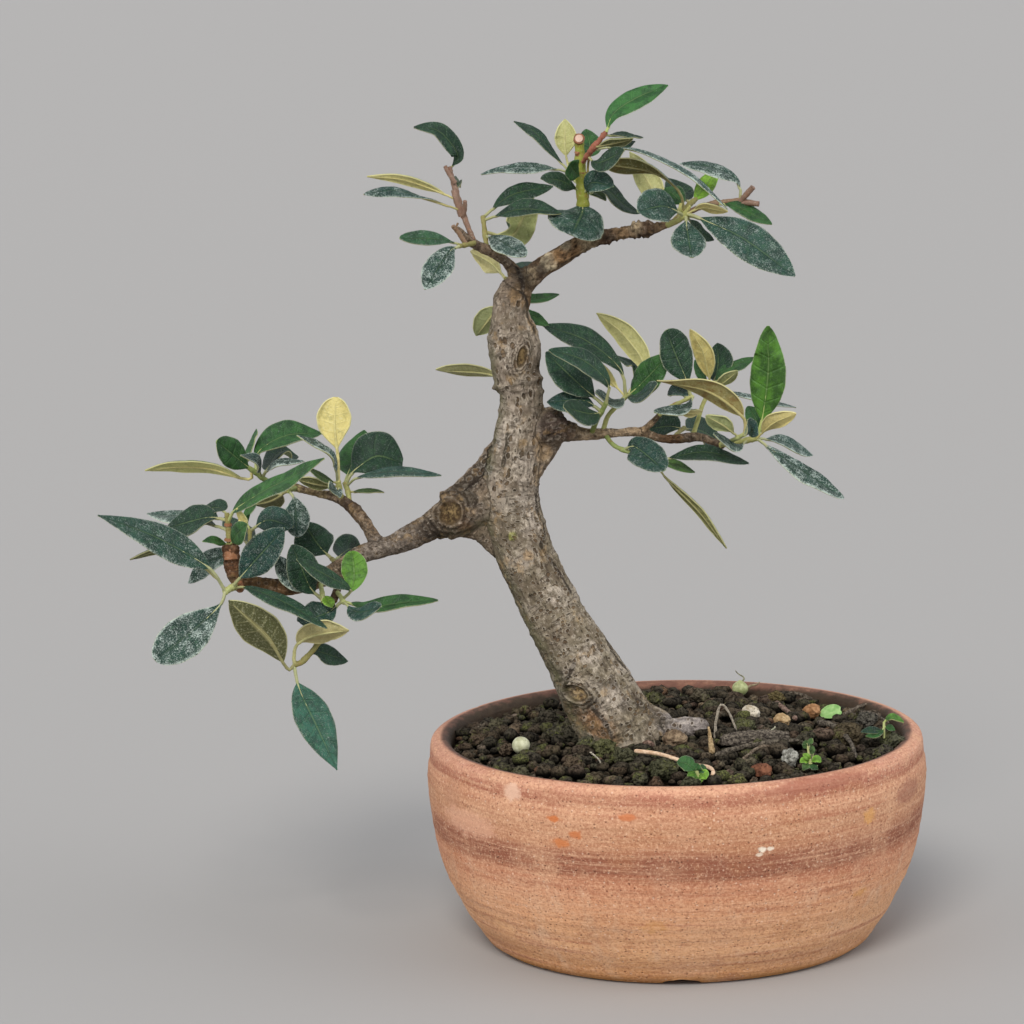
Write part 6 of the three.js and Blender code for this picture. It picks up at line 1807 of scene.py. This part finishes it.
# thin things lying about, at places of the picture with mm above the soil, or without them standing;
# radii in mm and colour
litter = {
    "rootlets": ([
        ([(590, 752), (594, 755), (599, 760), (602, 765)], (0.35, 0.25), (0.55, 0.50, 0.40)),
        ([(715, 739), (716, 722), (720, 706), (726, 708), (734, 724), (739, 741)], (0.55, 0.35),
         (0.40, 0.35, 0.28)),
        ([(747, 744), (750, 737), (753, 730)], (0.45, 0.3), (0.62, 0.60, 0.48)),
        ([(754, 747), (763, 739), (772, 730), (776, 727)], (0.4, 0.3), (0.52, 0.52, 0.38)),
        ([(757, 746), (768, 742), (777, 741)], (0.35, 0.25), (0.50, 0.50, 0.34)),
        ([(808, 745), (812, 752), (812, 762)], (0.35, 0.25), (0.50, 0.50, 0.30)),
        ([(860, 712, 1.4), (874, 718, 2.6), (889, 722, 1.8)], (0.6, 0.4), (0.055, 0.045, 0.04)),
        ([(636, 712, 1.2), (652, 706, 2.2), (668, 706, 1.2)], (0.4, 0.3), (0.30, 0.22, 0.14)),
    ], "bark"),
    "dead_sticks": ([
        ([(818, 728, 1.6), (836, 735, 2.2), (850, 745, 2.0), (856, 757, 1.0)], (1.2, 0.7),
         (0.030, 0.024, 0.022)),
        ([(770, 700, 1.2), (790, 697, 2.0), (812, 700, 1.4)], (0.9, 0.6), (0.035, 0.024, 0.018)),
        ([(843, 716, 1.2), (862, 706, 2.4), (880, 703, 1.6)], (0.8, 0.5), (0.06, 0.04, 0.03)),
        ([(470, 731, 0.8), (486, 727, 1.6), (503, 729, 0.8)], (0.7, 0.5), (0.05, 0.035, 0.024)),
        ([(716, 762, 1.4), (738, 756, 2.0), (772, 752, 2.4), (800, 748, 1.4)], (1.1, 0.7),
         (0.026, 0.020, 0.016)),
        ([(742, 764, 1.2), (764, 757, 2.6), (792, 757, 1.8)], (0.7, 0.4), (0.09, 0.06, 0.04)),
        ([(709, 750, 6.2), (710, 752, 4.2), (711, 754, 2.2), (712, 757, 0.8)], (0.35, 1.15),
         (0.42, 0.28, 0.13)),
        ([(776, 711, 2.4), (785, 717, 2.6), (796, 725, 1.4)], (0.8, 1.0), (0.19, 0.105, 0.085)),
    ], "bark"),
}


def twigFinish():
    twig = Finish("dead_wood", Roughness=0.85, Specular_IOR_Level=0.08)
    spot = twig.place()
    base = twig.attribute("twigTone")
    grain = twig.noise(spot, 0.9, 5, 0.7)
    shade = twig.mix(0.55, base, (0.01, 0.007, 0.005))
    light = twig.mix(0.25, base, (0.7, 0.6, 0.45))
    colour = twig.wash(shade, light, grain, 0.35, 0.7)
    return twig.done(colour, grain, 0.5, 0.8)


def makeLitter(name):
    sticks, slotName = litter[name]
    made = []
    rng = random.Random(len(name))
    for places, (start, end), tone in sticks:
        points = soilPath(places) if len(places[0]) == 3 else uprightPath(places)
        count = 26
        line = smoothLine(points, count)
        line = [point + Vector([rng.uniform(-0.12, 0.12) * mm for _ in range(3)]) for point in line]
        radii = [(start + (end - start) * i / (count - 1)) * rng.uniform(0.8, 1.2) * mm for i in range(count)]
        radii[0] *= 0.5
        radii[-1] *= 0.4
        stick = tube("stick", line, radii, 8)
        setColours(stick, "twigTone", [*tone, 1])
        made.append(stick)
    finished(smooth(joined(made, name)), deadWood, slotName)


dryStalk = {"places": [(635, 764, 3.4), (661, 767, 3.4), (690, 771, 3.4), (707, 773, 3.2), (713, 776, 2.8),
                       (712, 778, 1.2)],
            "count": 70, "sides": 14, "radius": 0.74, "thins": 0.1, "joint": 0.14, "jointAt": 0.86}


def makeStalk():
    count = dryStalk["count"]
    radii = []
    for i in range(count):
        share = i / (count - 1)
        joint = dryStalk["joint"] * math.exp(-((share - dryStalk["jointAt"]) / 0.03) ** 2)
        uneven = 0.04 * math.sin(share * 21)
        radii.append((dryStalk["radius"] + uneven + joint - dryStalk["thins"] * share) * mm)
    radii[0] *= 0.7
    stalk = tube("stalk", smoothLine(soilPath(dryStalk["places"]), count), radii, dryStalk["sides"])
    straw = Finish("dry_straw", Roughness=0.6, Specular_IOR_Level=0.35)
    spot = straw.place()
    streak = straw.noise(straw.stretched(spot, (0.15, 1.2, 1.2)), 0.8, 4, 0.6)
    colour = straw.wash((0.46, 0.29, 0.17), (0.76, 0.58, 0.42), streak, 0.3, 0.75)
    colour = straw.wash(colour, (0.28, 0.12, 0.06), straw.noise(spot, 2.2, 3, 0.6), 0.58, 0.75, 0.6)
    material = straw.done(colour, streak, 0.3, 0.6)
    finished(smooth(named(stalk, "dry_stalk_shape")), material, "dry_straw", "dry_stalk")


chip = {"place": (755, 749), "above": 1.4, "size": (25, 6.2, 3.2), "turn": 8}


def makeChip():
    # a weathered splinter of bark
    long, broad, deep = chip["size"]
    bpy.ops.mesh.primitive_cube_add(size=1)
    splinter = modified(bpy.context.object, "SUBSURF", levels=5, render_levels=5, subdivision_type="SIMPLE")
    points = readPoints(splinter)
    for i, (x, y, z) in enumerate(points):
        taper = 1 - 0.55 * abs(2 * x) ** 3 + 0.12 * math.sin(9 * x)
        wide = y * broad * taper + 1.1 * math.sin(3.2 * x + 0.5)
        thick = z * deep * (1 - 0.4 * abs(2 * x) ** 4) + 0.9 * math.cos(2.4 * x)
        grain = noise.fractal(Vector((x * 5, y * 11, z * 6)), 0.8, 2.2, 4)
        split = noise.noise(Vector((x * 3, y * 26, 7)))
        points[i] = (x * long, wide + 0.5 * grain, thick + 0.7 * grain + 0.5 * split)
    seat = onSoil(*chip["place"], chip["above"])
    turn = np.array(Matrix.Rotation(math.radians(chip["turn"]), 3, "Z"))
    writePoints(splinter, (points @ turn.T) * mm + np.array(seat))
    setColours(splinter, "twigTone", [0.040, 0.032, 0.030, 1])
    finished(smooth(named(splinter, "bark_chip_shape"), 50), deadWood, "bark", "bark_chip")


smallLeaf = {"place": (831, 717), "above": 3.0, "size": (8.4, 6.4, 0.6), "notch": 0.16, "tip": (-12, 38)}


def makeFlatLeaf():
    # the small bright leaf lies on the grit, tipped up towards the viewer
    long, wide, thick = smallLeaf["size"]
    bpy.ops.mesh.primitive_uv_sphere_add(segments=48, ring_count=20, radius=0.5)
    blade = bpy.context.object
    points = readPoints(blade)
    for i, (x, y, z) in enumerate(points):
        notch = 1 - smallLeaf["notch"] * math.exp(-((x - 0.5) / 0.12) ** 2 - (y / 0.12) ** 2)
        groove = 0.15 * math.exp(-(y / 0.09) ** 2) * (z > 0)
        points[i] = (x * long * notch, y * wide * (1 + 0.25 * x), z * thick - groove + 1.6 * y * y)
    tipY, tipX = [math.radians(angle) for angle in smallLeaf["tip"]]
    tip = Matrix.Rotation(tipY, 3, "Y") @ Matrix.Rotation(tipX, 3, "X")
    seat = onSoil(*smallLeaf["place"], smallLeaf["above"])
    writePoints(blade, (points @ np.array(tip).T) * mm + np.array(seat))
    green = Finish("small_leaf", Roughness=0.5, Specular_IOR_Level=0.4)
    spot = green.place(seat)
    cloud = green.noise(spot, 2, 4, 0.6)
    colour = green.wash((0.15, 0.31, 0.08), (0.29, 0.46, 0.17), cloud, 0.3, 0.7)
    colour = green.wash(colour, (0.55, 0.62, 0.35), green.noise(spot, 0.7, 3, 0.6), 0.6, 0.75, 0.4)
    material = green.done(colour, cloud, 0.2, 0.6)
    finished(smooth(named(blade, "fallen_leaf_shape")), material, "fresh_green", "fallen_leaf")


pod = {"place": (740, 690), "above": 1.9, "size": (6.0, 5.6, 5.6), "ridges": 5, "ridge": 0.025, "peak": 0.5}
# the pod's dry tails: places in mm from the pod, radius and how it thins, and colour
podTails = [
    ([(0.6, 0, 2.4), (1.6, 0.4, 4.0), (-0.6, 0.6, 5.6), (-1.6, 0.8, 6.8)], 0.34, 0.012, (0.06, 0.055, 0.03)),
    ([(3.0, 0, 0.2), (4.4, 0.4, 1.0), (6.2, 0.8, 1.2), (7.6, 1, 2.2)], 0.62, 0.03, (0.10, 0.035, 0.030)),
]


def makeTail(seat, places, radius, thins, tone):
    line = smoothLine([seat + Vector(place) * mm for place in places], 16)
    tail = tube("pod_tail", line, [(radius - thins * i) * mm for i in range(16)], 10)
    setColours(tail, "podTone", [*tone, 1])
    return tail


def makePod():
    ball = lumpyBall(31, 5, 0.05)
    points = readPoints(ball)
    long, wide, high = pod["size"]
    for i, (x, y, z) in enumerate(points):
        ridge = 1 + pod["ridge"] * math.cos(pod["ridges"] * math.atan2(y, x)) * (1 - (2 * z) ** 2)
        peak = pod["peak"] * math.exp(-(math.hypot(x, y) / 0.12) ** 2) * (z > 0)
        points[i] = (x * long * ridge, y * wide * ridge, z * high + peak)
    seat = onSoil(*pod["place"], pod["above"])
    writePoints(ball, points * mm + np.array(seat))
    tails = [makeTail(seat, *tail) for tail in podTails]
    setColours(ball, "podTone", [0.34, 0.40, 0.17, 1])
    skin = Finish("pod_skin", Roughness=0.55, Specular_IOR_Level=0.4)
    spot = skin.place(seat)
    base = skin.attribute("podTone")
    cloud = skin.noise(spot, 1.6, 4, 0.6)
    shade = skin.mix(0.4, base, (0.12, 0.10, 0.03))
    light = skin.mix(0.4, base, (0.58, 0.58, 0.33))
    colour = skin.wash(shade, light, cloud, 0.35, 0.7)
    whole = joined([ball, *tails], "seed_pod_shape")
    finished(smooth(whole), skin.done(colour, cloud, 0.3, 0.6), "fresh_green", "seed_pod")


screen = {"radius": 17, "cells": 15, "pitch": 2.4, "thick": 0.9, "level": 10.8}


def makeScreen():
    # a disc cut from a plastic net, over the drain hole
    cells = screen["cells"]
    size = cells * screen["pitch"] * mm
    bpy.ops.mesh.primitive_grid_add(x_subdivisions=cells, y_subdivisions=cells, size=size)
    net = named(bpy.context.object, "screen_net")
    bpy.ops.object.mode_set(mode="EDIT")
    bpy.ops.mesh.select_mode(type="FACE")
    bpy.ops.mesh.select_all(action="DESELECT")
    bpy.ops.object.mode_set(mode="OBJECT")
    for face in net.data.polygons:
        face.select = face.center.length > (screen["radius"] - 1.2) * mm
    bpy.ops.object.mode_set(mode="EDIT")
    bpy.ops.mesh.delete(type="FACE")
    bpy.ops.object.mode_set(mode="OBJECT")
    modified(net, "WIREFRAME", thickness=screen["thick"] * mm, use_boundary=True, use_even_offset=False)
    modified(net, "BEVEL", width=0.12 * mm, segments=2)
    net.data.transform(Matrix.Translation(potAxis + Vector((0, 0, screen["level"] * mm))))
    plastic = Finish("net_plastic", Roughness=0.5, Specular_IOR_Level=0.4)
    spot = plastic.place()
    dust = plastic.noise(spot, 3, 4, 0.6)
    plastic.set("Base Color", plastic.wash((0.018, 0.028, 0.022), (0.10, 0.08, 0.06), dust, 0.45, 0.7))
    plastic.set("Roughness", (dust * 0.5 + 0.35).clamped())
    finished(smooth(net, 40), plastic.material, "screen_mesh", "drainage_screen")


# mossy lumps among the grains: place in the picture, width in mm, and colour
lumps = [
    ((605, 755), 8.2, (0.090, 0.105, 0.030)), ((624, 762), 8.6, (0.060, 0.072, 0.030)),
    ((664, 774), 10.5, (0.040, 0.056, 0.020)), ((567, 742), 13.0, (0.028, 0.031, 0.022)),
    ((548, 728), 8.0, (0.020, 0.021, 0.018)), ((587, 752), 7.0, (0.075, 0.080, 0.050)),
    ((520, 770), 6.0, (0.080, 0.082, 0.045)), ((497, 727), 7.0, (0.11, 0.105, 0.060)),
    ((845, 738), 12.5, (0.085, 0.060, 0.028)), ((892, 741), 8.0, (0.085, 0.100, 0.060)),
    ((884, 752), 8.0, (0.018, 0.019, 0.022)), ((745, 736), 7.6, (0.10, 0.115, 0.050)),
    ((700, 703), 7.0, (0.10, 0.085, 0.055)), ((776, 703), 6.6, (0.15, 0.11, 0.030)),
    ((640, 779), 5.4, (0.050, 0.056, 0.030)), ((690, 784), 7.0, (0.036, 0.050, 0.018)),
    ((738, 778), 6.0, (0.045, 0.034, 0.022)), ((805, 747), 6.0, (0.040, 0.042, 0.030)),
    ((507, 748), 5.4, (0.11, 0.068, 0.045)), ((573, 768), 7.2, (0.090, 0.055, 0.032)),
    ((478, 738), 6.6, (0.10, 0.058, 0.040)), ((866, 722), 7.4, (0.085, 0.085, 0.080)),
    ((655, 707), 7.6, (0.040, 0.048, 0.020)), ((594, 779), 5.6, (0.085, 0.06, 0.035)),
]


def makeLumps():
    # fuzzy, crumbled balls of earth and moss
    made = []
    for index, ((px, py), width, tone) in enumerate(lumps):
        ball = lumpyBall(index + 60, 5, 0.36)
        points = readPoints(ball)
        for i, point in enumerate(points):
            crumb = noise.fractal(Vector(point) * width * 0.9 + Vector((index, 0, 4)), 0.75, 2.1, 4)
            points[i] = point * (1 + 0.13 * crumb)
        wide = width * (0.86 if width < 9 else 0.8)
        seat = onSoil(px, py, wide * 0.24)
        writePoints(ball, points * np.array((wide * 1.1, wide, wide * 0.85)) * mm + np.array(seat))
        setColours(ball, "grainTone", [*tone, 0.45])
        made.append(ball)
    finished(smooth(joined(made, "mossy_lumps")), grit, "grit")


# Seedlings

# stems and leaves: places in the picture with mm towards the back from where the seedling is rooted
sprouts = {
    "seedling_1": ((885, 742), [
        ([(884, 738, 0), (884, 730, 0), (884, 722, 0.5)], 0.45),
    ], [
        ("bright", 3.6, 35, [(884, 722, 0.5), (888, 718, 0), (894, 717, -1), (904, 722, -2)]),
        ("dark", 3.8, 40, [(884, 732, 0), (878, 730, -1), (870, 730, -2), (861, 732, -3)]),
        ("green", 3.0, 50, [(884, 728, 0), (880, 732, -2), (874, 735, -3), (866, 736, -4)]),
        ("green", 2.6, 60, [(884, 727, 0), (889, 727, -1), (895, 730, -2)]),
    ]),
    "seedling_2": ((811, 766), [
        ([(811, 765, 0), (809, 756, 0), (808, 748, 0.4), (807, 742, 0.8)], 0.42),
        ([(811, 764, 0), (813, 757, 1), (812, 750, 1.6)], 0.32),
    ], [
        ("pale", 2.6, 80, [(808, 749, 0.4), (806, 745, 0), (807, 740, 0)]),
        ("pale", 2.4, 60, [(809, 755, 0), (812, 751, 0), (811, 745, 0)]),
        ("pale", 2.2, 60, [(807, 744, 0), (810, 742, 0), (812, 738, 0)]),
        ("fresh", 3.0, 50, [(810, 762, 0), (805, 760, -1), (800, 762, -2)]),
        ("fresh", 3.2, 50, [(810, 762, 0), (816, 759, -1), (821, 762, -2)]),
        ("pale", 2.8, 70, [(810, 763, 0), (806, 766, -2), (803, 770, -3)]),
        ("green", 2.8, 60, [(811, 763, 0), (814, 767, -2), (818, 769, -3)]),
        ("fresh", 2.6, 60, [(810, 762, 0), (808, 757, -1), (803, 754, -1)]),
    ]),
    "seedling_3": ((698, 780), [
        ([(698, 780, 0), (698, 775, 0), (697, 771, 0)], 0.5),
    ], [
        ("green", 6.2, 55, [(697, 772, 0), (692, 767, 0), (686, 763, 0), (677, 762, 0)]),
        ("fresh", 4.8, 75, [(698, 774, 0), (694, 777, -1), (691, 782, -2)]),
        ("fresh", 4.6, 70, [(698, 774, 0), (703, 775, -1), (706, 779, -2)]),
        ("green", 4.4, 60, [(697, 772, 0), (697, 768, 0), (699, 764, 0)]),
        ("fresh", 4.2, 80, [(698, 776, 0), (698, 779, -1.5), (699, 784, -2.5)]),
        ("bright", 3.8, 60, [(697, 773, 0), (692, 773, -1), (688, 775, -1.5)]),
        ("green", 4.0, 50, [(697, 772, 0), (702, 769, 0.5), (707, 769, 0.5)]),
    ]),
}


def makeSprout(name, pattern, rng):
    (px, py), stems, leaves = sprouts[name]
    depth = (onSoil(px, py).y - potAxis.y) / mm
    parts, blades = [], []
    for places, radius in stems:
        points = [atDepth(x, y, depth + away) for x, y, away in places]
        parts.append(roughTube("stem", smoothLine(points, 20), [radius * mm] * 20, "pale", 10))
    for tint, width, face, places in leaves:
        line = [atDepth(x, y, depth + away) for x, y, away in places]
        plan = leaf(tint, width, 0, face, [], stalk=0.1, wave=0.05, curl=0.05)
        blade, rib = makeLeaf(pattern, plan, line, rng)
        blades.append(blade)
        parts.append(rib)
    makeBlades(blades, name + "_leaves")
    finished(smooth(joined(parts, name + "_stems")), stemSkin, "fresh_green", name)


def openRound(place, radius):
    # a place about the pot's axis that the loose grains keep clear of, in mm
    seat = (onSoil(*place) - potAxis) / mm
    return seat.x, seat.y, radius


# the fallen leaf, the pod, the seedlings and the root that lies on the soil
openPlaces = [(smallLeaf["place"], 2), (pod["place"], 3)]
openPlaces += [(place, 0.6) for place, _, _ in sprouts.values()]
openPlaces += [((px, 728), 4) for px in (664, 676, 688, 700)]
clearances = [openRound(place, size[0] * 0.5) for place, size, *_ in stones.values()]
clearances += [openRound(place, width * 0.42) for place, width, _ in lumps]
clearances += [openRound(*place) for place in openPlaces]
woodMesh = wholeTrunk.data
woodTree = BVHTree.FromPolygons([corner.co for corner in woodMesh.vertices],
                                [face.vertices for face in woodMesh.polygons])
makeGrains(woodTree, clearances)
for index, stoneName in enumerate(stones):
    makeStone(stoneName, index)
deadWood = twigFinish()
for litterName in litter:
    makeLitter(litterName)
makeStalk()
makeChip()
makeFlatLeaf()
makePod()
makeScreen()
makeLumps()
sproutRandom = random.Random(5)
for sproutName in sprouts:
    makeSprout(sproutName, bladePattern, sproutRandom)
bpy.data.objects.remove(bladePattern)
print("soil and what lies on it made")


# End

print("scene made")
